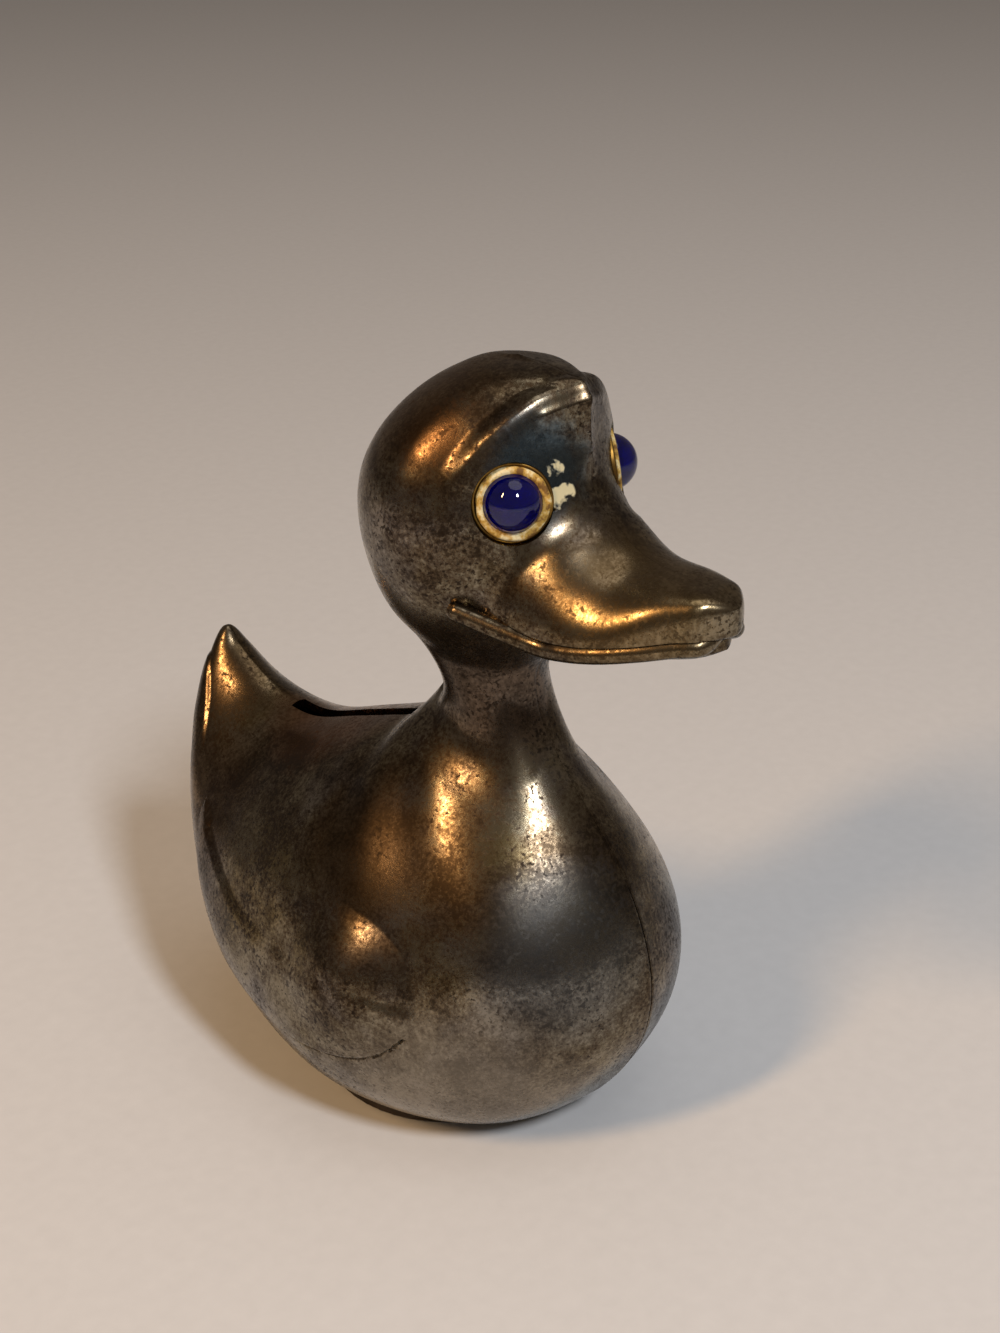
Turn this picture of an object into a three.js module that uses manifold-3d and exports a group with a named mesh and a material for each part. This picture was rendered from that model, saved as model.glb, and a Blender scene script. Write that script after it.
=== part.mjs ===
// A silver-plated duck coin bank: two stamped half shells, glass eyes, and a screw-out trap in the base.
// Millimetres, +Z up. The duck faces -Y, and +X is its left. The origin is under the middle of its box.
// Profile points are [forward, up]: forward is measured along -Y, up from the table.
import * as THREE from 'three';
import { mergeVertices } from 'three/addons/utils/BufferGeometryUtils.js';
import Module from 'manifold-3d';

const wasm = await Module();
wasm.setup();

// Driving dimensions

const wall = 1.4; // sheet and its plating, as the shells' thickness
const gap = 0.3; // clearance between pieces that meet
const seatHeight = 1.8; // underside of the shells, on the base plate
const floorThickness = 1.5; // the shells' turned-in floor

// The body's sections, from the tail's tip round the belly and chest and up to the crown.
// inner: a point on the back, nape or back of the head. outer: the point across from it on the rump,
// belly, chest, throat or face. half: half width. wide: how far from inner to outer the section is
// widest. roundIn and roundOut: 2 is an ellipse, less is keeled.
const sections = [
  { inner: [-50.1, 65.4], outer: [-50.7, 65.2], half: 0, wide: 0.5, roundIn: 2, roundOut: 2 },
  { inner: [-46.6, 62.5], outer: [-52.5, 59.7], half: 4.1, wide: 0.6, roundIn: 1.6, roundOut: 2 },
  { inner: [-41.6, 59.0], outer: [-53.2, 52.8], half: 7.6, wide: 0.64, roundIn: 1.45, roundOut: 2 },
  { inner: [-35.5, 56.6], outer: [-52.3, 43.3], half: 12.0, wide: 0.66, roundIn: 1.5, roundOut: 2 },
  { inner: [-28.4, 55.7], outer: [-48.3, 32.0], half: 17.2, wide: 0.66, roundIn: 1.7, roundOut: 2 },
  { inner: [-20.8, 57.9], outer: [-41.0, 19.3], half: 22.7, wide: 0.64, roundIn: 1.85, roundOut: 2 },
  { inner: [-14.3, 60.1], outer: [-29.8, 7.6], half: 27.4, wide: 0.63, roundIn: 1.95, roundOut: 2 },
  { inner: [-9.6, 61.7], outer: [-14.8, -0.3], half: 30.5, wide: 0.62, roundIn: 2, roundOut: 2 },
  { inner: [-6.2, 63.0], outer: [2.4, -3.2], half: 32.3, wide: 0.62, roundIn: 1.9, roundOut: 1.95 },
  { inner: [-3.9, 65.2], outer: [22.6, 1.1], half: 30.4, wide: 0.62, roundIn: 1.9, roundOut: 2 },
  { inner: [-1.8, 67.6], outer: [35.7, 13.8], half: 25.6, wide: 0.64, roundIn: 1.8, roundOut: 2 },
  { inner: [-0.3, 70.0], outer: [40.7, 29.5], half: 19.2, wide: 0.62, roundIn: 1.8, roundOut: 2 },
  { inner: [0.3, 72.5], outer: [35.3, 47.1], half: 11.0, wide: 0.57, roundIn: 1.9, roundOut: 2 },
  { inner: [0.5, 75.5], outer: [24.7, 60.5], half: 7.8, wide: 0.53, roundIn: 2, roundOut: 2 },
  { inner: [-0.3, 78.6], outer: [18.7, 70.5], half: 8.6, wide: 0.52, roundIn: 2, roundOut: 2 },
  { inner: [-3.5, 82.0], outer: [18.4, 78.1], half: 9.8, wide: 0.5, roundIn: 2, roundOut: 2 },
  { inner: [-6.8, 87.0], outer: [22.2, 83.5], half: 14.2, wide: 0.5, roundIn: 2, roundOut: 1.8 },
  { inner: [-8.1, 93.2], outer: [27.2, 90.0], half: 18.5, wide: 0.49, roundIn: 2, roundOut: 1.7 },
  { inner: [-8.3, 100.5], outer: [30.2, 99.1], half: 21.6, wide: 0.47, roundIn: 2, roundOut: 1.6 },
  { inner: [-7.5, 108.5], outer: [28.9, 108.5], half: 21.3, wide: 0.45, roundIn: 2, roundOut: 1.6 },
  { inner: [-3.3, 116.3], outer: [27.3, 116.3], half: 17.8, wide: 0.44, roundIn: 2, roundOut: 1.55 },
  { inner: [3.7, 122.3], outer: [25.7, 123.4], half: 10.0, wide: 0.42, roundIn: 2, roundOut: 1.5 },
  { inner: [11.7, 125.1], outer: [16.7, 125.3], half: 0, wide: 0.5, roundIn: 2, roundOut: 2 },
];

// The bill, from its root in the head to its tip: ridge height, rim height, half width, and how squarely
// its top turns down at the sides, where 2 is an ellipse.
const billSections = [
  { forward: 14.7, ridge: 110.5, rim: 92.5, half: 15.5, round: 1.7 },
  { forward: 22.7, ridge: 110.0, rim: 91.7, half: 15.3, round: 1.7 },
  { forward: 28.7, ridge: 107.5, rim: 90.8, half: 14.6, round: 1.7 },
  { forward: 33.7, ridge: 102.7, rim: 90.7, half: 13.8, round: 1.75 },
  { forward: 38.7, ridge: 100.2, rim: 91.3, half: 12.4, round: 1.9 },
  { forward: 43.7, ridge: 99.5, rim: 92.2, half: 9.9, round: 2.2 },
  { forward: 47.7, ridge: 99.1, rim: 93.0, half: 7.2, round: 2.6 },
  { forward: 50.7, ridge: 98.6, rim: 93.4, half: 4.8, round: 2.8 },
  { forward: 53.2, ridge: 96.9, rim: 94.6, half: 0, round: 2.8 },
];
const rimThickness = 1.2; // from the bill's widest line down to its flat underside
const lowerBillThickness = 2.6;
const lowerBillSetBack = 1.6; // its tip behind the upper bill's tip
const lowerBillInset = 0.6; // its edge inside the upper bill's edge
const lipRadius = 1.4; // the rounded lip along the lower bill's edge
const lipInset = 0.8; // the lip's middle line, inside the upper bill's edge
const lipDrop = 1.5; // the same line, below that edge
const mouthCorner = [-17.4, 17.3, 92.2]; // where the lip ends on the right cheek

// The folded wing, from its shoulder back to the hook at its end: a row's middle on the flank, and how far
// the wing reaches above and below it
const wingProud = 1.8;
const wingSink = { below: 0.2, above: 0.9 }; // how deep its edges lie in the flank
const wingRows = [
  { at: [17.8, 30], spread: 0 },
  { at: [14.5, 30], spread: 6.9 },
  { at: [8, 30.6], spread: 11.2 },
  { at: [-1, 31], spread: 13 },
  { at: [-10, 31.3], spread: 13.5 },
  { at: [-19, 32.5], spread: 13.2 },
  { at: [-27, 35.2], spread: 11.2 },
  { at: [-33, 38.4], spread: 6.8 },
  { at: [-37, 41.3], spread: 3.0 },
  { at: [-39, 43], spread: 0 },
];

// The coin slot, on the back's centre line
const slot = { width: 3.2, from: -33.5, to: -5.0 };

// The eyes: the centre of each glass ball, and the way it looks
const eye = { side: 11.0, forward: 22.2, up: 108.1, azimuth: 45, elevation: 8 };
const glassRadius = 4.25;
const cupRadius = 5.8;
const cupWall = 0.6;
const cupDepth = 5.6;
const cupLip = 0.6; // how far the cup's edge stands past the glass ball's centre
const cementLip = 1.0; // the cement heaps a little higher than the cup

// The base and its screw-out trap
const baseForward = -0.8;
const collarBore = 13.7; // inside the collar's thread
const collarWall = 4.1; // from the thread's groove to the collar's outside
const washerWidth = 2.1;
const plateWidth = 3.2; // of the base plate's ring
const collarHeight = 6.0;
const threadPitch = 2.4;
const threadTurns = 1.4; // on the plug
const threadDepth = 0.9;
const threadTop = 0.6; // width of a thread's flat top, along the axis
const threadFoot = 1.2; // its width at the foot
const flangeRecess = 0.2; // the plug's flange is let in from the table by this much
const flangeThickness = 0.8;
const washerThickness = 0.5;
const plugHeight = 6.2;
const plugWall = 1.3;
const plugRoof = 1.2;
const barThickness = 2.0;
const barWaist = 1.4; // how far the finger hollow reaches into the pinch bar

// Solids, joins and cuts

// Turns a three.js geometry into a solid that can be joined and cut.
function solid(geometry) {
  const bare = geometry.clone();
  bare.deleteAttribute('normal');
  bare.deleteAttribute('uv');
  const merged = mergeVertices(bare, 1e-5);
  const vertProperties = new Float32Array(merged.attributes.position.array);
  const triVerts = new Uint32Array(merged.index.array);
  return new wasm.Manifold(new wasm.Mesh({ numProp: 3, vertProperties, triVerts }));
}

// Turns a solid back into a geometry.
function geometryOf(body) {
  const mesh = body.getMesh();
  const geometry = new THREE.BufferGeometry();
  geometry.setAttribute('position', new THREE.BufferAttribute(mesh.vertProperties, 3));
  geometry.setIndex(new THREE.BufferAttribute(mesh.triVerts, 1));
  return geometry;
}

// The same solid on the other side of the seam.
function mirrored(body) {
  const geometry = geometryOf(body);
  geometry.scale(-1, 1, 1);
  geometry.index.array.reverse();
  return solid(geometry);
}

// A box solid between two corners.
function boxSolid(low, high) {
  const size = high.map((value, axis) => value - low[axis]);
  const geometry = new THREE.BoxGeometry(...size);
  geometry.translate(...low.map((value, axis) => value + size[axis] / 2));
  return solid(geometry);
}

// A solid turned about Z from a closed profile of [radius, height] points.
function turned(profile, segments, place = new THREE.Matrix4()) {
  const points = profile.map(([radius, height]) => new THREE.Vector2(radius, height));
  const geometry = new THREE.LatheGeometry(points, segments);
  geometry.rotateX(Math.PI / 2);
  geometry.applyMatrix4(place);
  return solid(geometry);
}

// A closed profile's first point again at its end.
function closed(profile) {
  return [...profile, profile[0]];
}

// A natural cubic spline through equally spaced rows of values.
function spline(rows) {
  const last = rows.length - 1;
  const bends = rows[0].map((_, column) => {
    const upper = [0];
    const right = [0];
    for (let i = 1; i < last; i += 1) {
      const pull = 6 * (rows[i - 1][column] - 2 * rows[i][column] + rows[i + 1][column]);
      const pivot = 4 - upper[i - 1];
      upper.push(1 / pivot);
      right.push((pull - right[i - 1]) / pivot);
    }
    const bend = new Array(last + 1).fill(0);
    for (let i = last - 1; i > 0; i -= 1) bend[i] = right[i] - upper[i] * bend[i + 1];
    return bend;
  });
  return (t) => {
    const i = Math.min(Math.floor(t), last - 1);
    const b = t - i;
    const a = 1 - b;
    return rows[0].map((_, column) => {
      const straight = a * rows[i][column] + b * rows[i + 1][column];
      const curved = (a ** 3 - a) * bends[column][i] + (b ** 3 - b) * bends[column][i + 1];
      return straight + curved / 6;
    });
  };
}

// The point at an angle round one section, as [x, forward, up]. Angle 0 is its inner point.
function onSection([innerF, innerU, outerF, outerU, half, wide, roundIn, roundOut], angle) {
  const cos = Math.cos(angle);
  const sin = Math.sin(angle);
  const onInner = cos >= 0;
  const power = 2 / (onInner ? roundIn : roundOut);
  const reach = Math.abs(cos) ** power;
  const share = onInner ? wide * (1 - reach) : wide + (1 - wide) * reach;
  const sideways = Math.abs(sin) < 1e-9 ? 0 : Math.sign(sin) * Math.abs(sin) ** power;
  return [half * sideways, innerF + (outerF - innerF) * share, innerU + (outerU - innerU) * share];
}

// A closed skin over rings of [x, forward, up] points, from one pole to the other.
function skin(firstPole, rings, lastPole) {
  const around = rings[0].length;
  const points = [firstPole, ...rings.flat(), lastPole];
  const end = points.length - 1;
  const vertex = (ring, i) => 1 + ring * around + (i % around);
  const triangles = [];
  for (let i = 0; i < around; i += 1) {
    triangles.push(0, vertex(0, i), vertex(0, i + 1));
    for (let ring = 0; ring < rings.length - 1; ring += 1) {
      const [a, b] = [vertex(ring, i), vertex(ring, i + 1)];
      const [c, d] = [vertex(ring + 1, i + 1), vertex(ring + 1, i)];
      triangles.push(a, c, b, a, d, c);
    }
    triangles.push(end, vertex(rings.length - 1, i + 1), vertex(rings.length - 1, i));
  }
  const geometry = new THREE.BufferGeometry();
  const position = new Float32Array(points.flatMap(([x, forward, up]) => [x, -forward, up]));
  geometry.setAttribute('position', new THREE.BufferAttribute(position, 3));
  geometry.setIndex(triangles);
  return solid(geometry);
}

// The section at any place along rows of section values. Its first and last rows are poles, and the
// sections' middles slow down towards them, which rounds the ends.
function sectionsAlong(rows) {
  const at = spline(rows.map((row) => {
    const [innerF, innerU, outerF, outerU, ...rest] = row;
    const middle = [(innerF + outerF) / 2, (innerU + outerU) / 2];
    return [...middle, (outerF - innerF) / 2, (outerU - innerU) / 2, ...rest];
  }));
  const last = rows.length - 1;
  const slow = (t) => t * t * (2 - t);
  const easedMiddle = (t) => {
    if (t < 1) return slow(t);
    if (t > last - 1) return last - slow(last - t);
    return t;
  };
  return (t) => {
    const [middleF, middleU] = at(easedMiddle(t));
    const [, , halfF, halfU, ...rest] = at(t);
    return [middleF - halfF, middleU - halfU, middleF + halfF, middleU + halfU, ...rest];
  };
}

// A closed loft through rows of section values.
function loft(rows, steps, around) {
  const sectionAt = sectionsAlong(rows);
  const last = rows.length - 1;
  const pole = (t) => {
    const [innerF, innerU, outerF, outerU] = sectionAt(t);
    return [0, (innerF + outerF) / 2, (innerU + outerU) / 2];
  };
  const rings = Array.from({ length: last * steps - 1 }, (_, i) => {
    const values = sectionAt((i + 1) / steps);
    return Array.from({ length: around }, (__, j) => onSection(values, (2 * Math.PI * j) / around));
  });
  return skin(pole(0), rings, pole(last));
}

// A round bead along a smooth curve through [x, forward, up] points, rounded off at both ends.
function bead(points, radius, steps, around) {
  const curve = new THREE.CatmullRomCurve3(points.map((point) => new THREE.Vector3(...point)));
  const rings = Array.from({ length: steps - 1 }, (_, i) => {
    const t = (i + 1) / steps;
    const centre = curve.getPointAt(t);
    const along = curve.getTangentAt(t);
    const side = new THREE.Vector3(0, 0, 1).cross(along).normalize();
    const over = along.clone().cross(side);
    const end = Math.min(t, 1 - t) * 12;
    const size = end < 1 ? radius * Math.sqrt(end * (2 - end)) : radius;
    return Array.from({ length: around }, (__, j) => {
      const turn = (2 * Math.PI * j) / around;
      const spot = centre.clone().addScaledVector(side, size * Math.cos(turn));
      return spot.addScaledVector(over, size * Math.sin(turn)).toArray();
    });
  });
  return skin(points[0], rings, points[points.length - 1]);
}

// A flat outline of [forward, up] points, made solid from one x to another.
function sideSlab(outline, fromX, toX) {
  const shape = new THREE.Shape(outline.map(([forward, up]) => new THREE.Vector2(-forward, up)));
  const geometry = new THREE.ExtrudeGeometry(shape, { depth: toX - fromX, bevelEnabled: false });
  geometry.rotateX(Math.PI / 2);
  geometry.rotateZ(Math.PI / 2);
  geometry.translate(fromX, 0, 0);
  return solid(geometry);
}

// The two half shells

// The body's rows, pushed in square to its surface by depth. A negative depth swells them. Each row's back
// and front points move square to their own line from tail to crown, a tip moves towards the row beside it,
// and the half width makes up what the row's own move leaves of depth where the flank slopes.
function bodyRows(depth) {
  const middle = ({ inner, outer }) => [(inner[0] + outer[0]) / 2, (inner[1] + outer[1]) / 2];
  const unit = ([fromF, fromU], [toF, toU]) => {
    const length = Math.hypot(toF - fromF, toU - fromU);
    return [(toF - fromF) / length, (toU - fromU) / length, length];
  };
  const last = sections.length - 1;
  return sections.map((row, i) => {
    const before = sections[Math.max(i - 1, 0)];
    const after = sections[Math.min(i + 1, last)];
    const { inner, outer, half, wide, roundIn, roundOut } = row;
    if (half === 0) {
      const [f, u] = unit(middle(row), middle(i === 0 ? after : before));
      const tip = ([forward, up]) => [forward + f * depth, up + u * depth];
      return [...tip(inner), ...tip(outer), 0, wide, roundIn, roundOut];
    }
    const [backF, backU] = unit(before.inner, after.inner);
    const [frontF, frontU] = unit(before.outer, after.outer);
    const [alongF, alongU, travel] = unit(middle(before), middle(after));
    const slope = Math.atan2(after.half - before.half, travel);
    const move = [((backU - frontU) * depth) / 2, ((frontF - backF) * depth) / 2];
    const ahead = move[0] * alongF + move[1] * alongU;
    const pushed = half - (depth - ahead * Math.sin(slope)) / Math.cos(slope);
    return [
      inner[0] + backU * depth, inner[1] - backF * depth,
      outer[0] - frontU * depth, outer[1] + frontF * depth,
      pushed, wide, roundIn, roundOut,
    ];
  });
}

// The upper bill's rows, pushed in by depth. Towards its tip, where the rim draws in, they move back too.
function billRows(depth) {
  const last = billSections.length - 1;
  return billSections.map(({ forward, ridge, rim, half, round }, i) => {
    const [before, after] = [billSections[Math.max(i - 1, 0)], billSections[Math.min(i + 1, last)]];
    const slope = half > 0 ? Math.atan2(before.half - after.half, after.forward - before.forward) : Math.PI / 2;
    const back = forward - depth * Math.max(Math.sin(slope), 0);
    const pushed = half > 0 ? half - depth * Math.cos(slope) : 0;
    const bottom = rim - rimThickness;
    const wide = (ridge - rim) / (ridge - bottom);
    return [back, ridge - depth, back, bottom + depth * 0.6, pushed, wide, round, 2.5];
  });
}

// The flank's x at a place seen from the side, found by Newton's steps on the body's surface.
const bodySection = sectionsAlong(bodyRows(0));
function flank(forward, up) {
  const off = (t, angle) => {
    const [, f, u] = onSection(bodySection(t), angle);
    return [f - forward, u - up];
  };
  let best = [1, Math.PI / 2];
  const distance = (place) => Math.hypot(...off(...place));
  for (let t = 1; t <= 13; t += 0.5) {
    for (let angle = 0.3; angle < 3; angle += 0.3) {
      if (distance([t, angle]) < distance(best)) best = [t, angle];
    }
  }
  const step = 1e-4;
  for (let i = 0; i < 12; i += 1) {
    const [t, angle] = best;
    const [f, u] = off(t, angle);
    const [ft, ut] = off(t + step, angle).map((value, k) => (value - [f, u][k]) / step);
    const [fa, ua] = off(t, angle + step).map((value, k) => (value - [f, u][k]) / step);
    const area = ft * ua - fa * ut;
    best = [
      THREE.MathUtils.clamp(t - (f * ua - u * fa) / area, 0.05, sections.length - 1.05),
      THREE.MathUtils.clamp(angle - (u * ft - f * ut) / area, 0.05, 3.09),
    ];
  }
  return onSection(bodySection(best[0]), best[1])[0];
}

// The right wing: a lens along the flank, its edges sunk in it and its middle proud of it.
function wing() {
  const steps = 2;
  const around = 18;
  const last = wingRows.length - 1;
  const at = spline(wingRows.map(({ at: [forward, up], spread }) => [forward, up, spread]));
  const rings = [];
  for (let i = 1; i < last * steps; i += 1) {
    const t = i / steps;
    const [forward, up, spread] = at(t);
    const ahead = at(t + 0.01);
    const length = Math.hypot(ahead[0] - forward, ahead[1] - up);
    const across = [(up - ahead[1]) / length, (ahead[0] - forward) / length].map((value) => -value);
    const edge = (sign) => [forward + sign * spread * across[0], up + sign * spread * across[1]];
    const high = flank(...edge(1)) - wingSink.above;
    const low = flank(...edge(-1)) - wingSink.below;
    const chord = Math.hypot(2 * spread, high - low);
    const [outward, lean] = [(2 * spread) / chord, (low - high) / chord];
    const bulge = (flank(forward, up) - (high + low) / 2) * outward + wingProud;
    rings.push(Array.from({ length: around }, (_, j) => {
      const turn = (2 * Math.PI * j) / around;
      const along = Math.cos(turn);
      const out = Math.sin(turn) * (Math.sin(turn) > 0 ? bulge : bulge / 2);
      const shift = spread * along + out * lean;
      const x = (high + low) / 2 + ((high - low) / 2) * along + out * outward;
      return [-x, forward + across[0] * shift, up + across[1] * shift];
    }));
  }
  const tip = ([forward, up]) => [wingSink.above - flank(forward, up), forward, up];
  return skin(tip(wingRows[0].at), rings, tip(wingRows[last].at));
}

const reach = 80; // longer than half of anything on the duck
const cutBelow = (body, up) => body.subtract(boxSolid([-reach, -reach, up - reach], [reach, reach, up]));

// The duck's outside, with a wing on the right only: the left shell is the right one's mirror image.
const outside = loft(bodyRows(0), 3, 24).add(loft(billRows(0), 2, 20)).add(wing());
const hollow = cutBelow(
  loft(bodyRows(wall), 2, 16).add(loft(billRows(wall), 2, 12)),
  seatHeight + floorThickness,
);

// The group that an eye's pieces stand in: its origin at the glass ball's centre, its +Z where the eye looks.
function eyeGroup(side) {
  const azimuth = THREE.MathUtils.degToRad(eye.azimuth);
  const elevation = THREE.MathUtils.degToRad(eye.elevation);
  const axis = new THREE.Vector3(
    side * Math.sin(azimuth) * Math.cos(elevation),
    -Math.cos(azimuth) * Math.cos(elevation),
    Math.sin(elevation),
  );
  const place = new THREE.Group();
  place.position.set(side * eye.side, -eye.forward, eye.up);
  place.quaternion.setFromUnitVectors(new THREE.Vector3(0, 0, 1), axis);
  place.updateMatrix();
  return place;
}

// An arc of [radius, height] points about a centre on the axis, by angles from the +Z pole.
function arc(radius, centre, fromDegrees, toDegrees, steps) {
  return Array.from({ length: steps + 1 }, (_, i) => {
    const turn = THREE.MathUtils.degToRad(fromDegrees + ((toDegrees - fromDegrees) * i) / steps);
    return [Math.max(radius * Math.sin(turn), 0), centre + radius * Math.cos(turn)];
  });
}

const eyeGroups = { right: eyeGroup(-1), left: eyeGroup(1) };
const socketOutline = closed([
  [0, -cupDepth - gap], [cupRadius + gap, -cupDepth - gap], [cupRadius + gap, cupRadius], [0, cupRadius],
]);
const sockets = Object.values(eyeGroups).map((place) => turned(socketOutline, 24, place.matrix));
const slotSlab = sideSlab(
  [[slot.from, 50], [slot.to, 50], [slot.to, 72], [slot.from, 72]],
  -slot.width / 2,
  slot.width / 2,
);

// The base and its trap, from the thread outwards
const plugCore = collarBore - gap;
const washerBore = collarBore + threadDepth;
const flangeRadius = washerBore + washerWidth;
const trapRadius = flangeRadius + gap; // the hole in the base plate
const baseRadius = trapRadius + plateWidth;
const collarRadius = washerBore + collarWall;

// The group that the base and its trap stand in.
const baseGroup = new THREE.Group();
baseGroup.position.set(0, -baseForward, 0);
baseGroup.updateMatrix();
const wellTop = seatHeight + 2 * floorThickness;
const trapWell = turned(
  closed([[0, 0], [collarRadius + gap, 0], [collarRadius + gap, wellTop], [0, wellTop]]),
  36,
  baseGroup.matrix,
);
const cuts = [hollow, slotSlab, trapWell, ...sockets];
const shells = cuts.reduce((body, cut) => body.subtract(cut), cutBelow(outside, seatHeight));
const rightShell = shells.intersect(boxSolid([-reach, -reach, -reach], [0, reach, 2 * reach]));
const leftShell = mirrored(rightShell);

// The lower bill: a plate of the upper bill's outline, set back under it and cut to the throat, and a lip
// that runs round its edge from one corner of the mouth to the other
const lowerBillRows = billSections.map(({ forward, rim, half }) => {
  const top = rim - rimThickness - gap;
  const bottom = top - lowerBillThickness;
  return [forward - lowerBillSetBack, top, forward - lowerBillSetBack, bottom,
    Math.max(half - lowerBillInset, 0), 0.4, 3, 3];
});
const rightLip = billSections.slice(2, -1).map(({ forward, rim, half }) => (
  [lipInset - half, forward - lipInset, rim - lipDrop]
));
const billTip = billSections[billSections.length - 1];
const lipPath = [
  mouthCorner,
  ...rightLip,
  [0, billTip.forward - lowerBillSetBack - lipRadius, billTip.rim - lipDrop],
  ...rightLip.map(([x, forward, up]) => [-x, forward, up]).reverse(),
  [-mouthCorner[0], mouthCorner[1], mouthCorner[2]],
];
const lowerBill = loft(lowerBillRows, 2, 12)
  .add(bead(lipPath, lipRadius, 32, 8))
  .subtract(loft(bodyRows(-gap), 3, 24))
  .subtract(loft(billRows(-gap), 2, 20))
  .decompose()
  .reduce((largest, piece) => (piece.volume() > largest.volume() ? piece : largest));

// The eyes: a brass cup let into each side of the face, a cement bed in it, and a glass ball
const cupInside = cupRadius - cupWall;
const eyeCup = turned(closed([
  [0, -cupDepth], [cupRadius - 0.8, -cupDepth], [cupRadius, 0.8 - cupDepth], [cupRadius, cupLip - 0.2],
  [cupRadius - cupWall / 2, cupLip], [cupInside, cupLip - 0.2], [cupInside, 0.8 - cupDepth],
  [cupInside - 0.4, cupWall - cupDepth], [0, cupWall - cupDepth],
]), 24);
const bedRadius = cupInside - gap;
const bedBottom = cupWall + gap - cupDepth;
const glassSeat = glassRadius + gap;
const seatAngle = 90 - THREE.MathUtils.radToDeg(Math.asin(cementLip / glassSeat));
const cementBed = turned(closed([
  [0, bedBottom], [bedRadius - 0.5, bedBottom], [bedRadius, bedBottom + 0.8], [bedRadius, cupLip],
  ...arc(glassSeat, 0, seatAngle, 180, 6),
]), 24);
const glassBall = turned(closed(arc(glassRadius, 0, 180, 0, 9)), 20);

// The base plate: a flat ring with a foot rim, soldered under the shells
const basePlate = turned(closed([
  [trapRadius, 0], [baseRadius - 0.5, 0], [baseRadius, 0.5], [baseRadius, seatHeight], [trapRadius, seatHeight],
]), 48);

// A thread's ridge or groove: a trapezium swept along a right-hand helix, its ends run down into the core.
function helix({ inner, outer, innerWidth, outerWidth, from, turns, runOut }) {
  const perTurn = 24;
  const startAngle = Math.PI / 50; // keeps its corners clear of those of the ring that it runs round
  const count = Math.round(turns * perTurn);
  const points = [];
  for (let i = 0; i <= count; i += 1) {
    const angle = startAngle + (2 * Math.PI * i) / perTurn;
    const height = from + (threadPitch * i) / perTurn;
    const fade = runOut ? Math.min(1, i / runOut, (count - i) / runOut) : 1;
    const crest = inner + (outer - inner) * fade;
    const corners = [[inner, -innerWidth], [crest, -outerWidth], [crest, outerWidth], [inner, innerWidth]];
    for (const [radius, width] of corners) {
      points.push(radius * Math.cos(angle), radius * Math.sin(angle), height + width / 2);
    }
  }
  const triangles = [0, 1, 2, 0, 2, 3];
  for (let i = 0; i < count; i += 1) {
    for (let side = 0; side < 4; side += 1) {
      const [a, b] = [4 * i + side, 4 * i + ((side + 1) % 4)];
      triangles.push(a, a + 4, b, b, a + 4, b + 4);
    }
  }
  const end = 4 * count;
  triangles.push(end, end + 2, end + 1, end, end + 3, end + 2);
  const geometry = new THREE.BufferGeometry();
  geometry.setAttribute('position', new THREE.BufferAttribute(new Float32Array(points), 3));
  geometry.setIndex(triangles);
  return solid(geometry);
}

// The collar: a ring standing on the base plate, threaded inside from end to end
const plugBottom = flangeRecess;
const flangeTop = plugBottom + flangeThickness;
const washerTop = flangeTop + washerThickness;
const threadStart = seatHeight + threadFoot / 2;
const embed = 0.6; // how far a thread's solid reaches past the face that it stands on
const flare = (threadFoot - threadTop) / threadDepth;
const collarTop = seatHeight + collarHeight;
const groove = helix({
  inner: collarBore - embed,
  outer: collarBore + threadDepth,
  innerWidth: threadPitch - threadTop + embed * flare,
  outerWidth: threadPitch - threadFoot,
  from: threadStart - 2 * threadPitch,
  turns: collarHeight / threadPitch + 4,
});
const baseCollar = turned(closed([
  [collarBore, seatHeight], [collarRadius, seatHeight], [collarRadius, collarTop - 0.6],
  [collarRadius - 0.6, collarTop], [collarBore, collarTop],
]), 36).subtract(groove);

// The plug: a dished cap with a flange, a thread outside and a pinch bar across its hollow
const plugTop = plugBottom + plugHeight;
const dish = plugCore - plugWall;
const dishRoof = plugTop - plugRoof;
const plugBlank = turned(closed([
  [dish, plugBottom], [flangeRadius, plugBottom], [flangeRadius, flangeTop], [plugCore, flangeTop],
  [plugCore, plugTop - 0.5], [plugCore - 0.5, plugTop], [0, plugTop], [0, dishRoof], [dish - 0.6, dishRoof],
  [dish, dishRoof - 0.6],
]), 36);
const ridge = helix({
  inner: plugCore - embed,
  outer: plugCore + threadDepth,
  innerWidth: threadFoot,
  outerWidth: threadTop,
  from: threadStart,
  turns: threadTurns,
  runOut: 4,
});
const coinPlug = plugBlank.add(ridge);

const trapWasher = turned(closed([
  [washerBore, flangeTop], [flangeRadius, flangeTop], [flangeRadius, washerTop], [washerBore, washerTop],
]), 36);

// The pinch bar: waisted, so that a finger and thumb hold it
const barHalf = dish - 2 * gap;
const barBottom = plugBottom + gap;
const barTop = dishRoof - gap;
const barShape = new THREE.Shape();
barShape.moveTo(-barHalf, barTop);
barShape.lineTo(-barHalf, barBottom + 0.8);
barShape.quadraticCurveTo(-barHalf, barBottom, 0.8 - barHalf, barBottom);
barShape.lineTo(-barHalf * 0.55, barBottom);
barShape.quadraticCurveTo(0, barBottom + 2 * barWaist, barHalf * 0.55, barBottom);
barShape.lineTo(barHalf - 0.8, barBottom);
barShape.quadraticCurveTo(barHalf, barBottom, barHalf, barBottom + 0.8);
barShape.lineTo(barHalf, barTop);
barShape.closePath();
const barGeometry = new THREE.ExtrudeGeometry(
  barShape,
  { depth: barThickness, bevelEnabled: false, curveSegments: 8 },
);
barGeometry.rotateX(Math.PI / 2);
barGeometry.translate(0, barThickness / 2, 0);
const pinchBar = solid(barGeometry);

// Finishes and nodes

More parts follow.
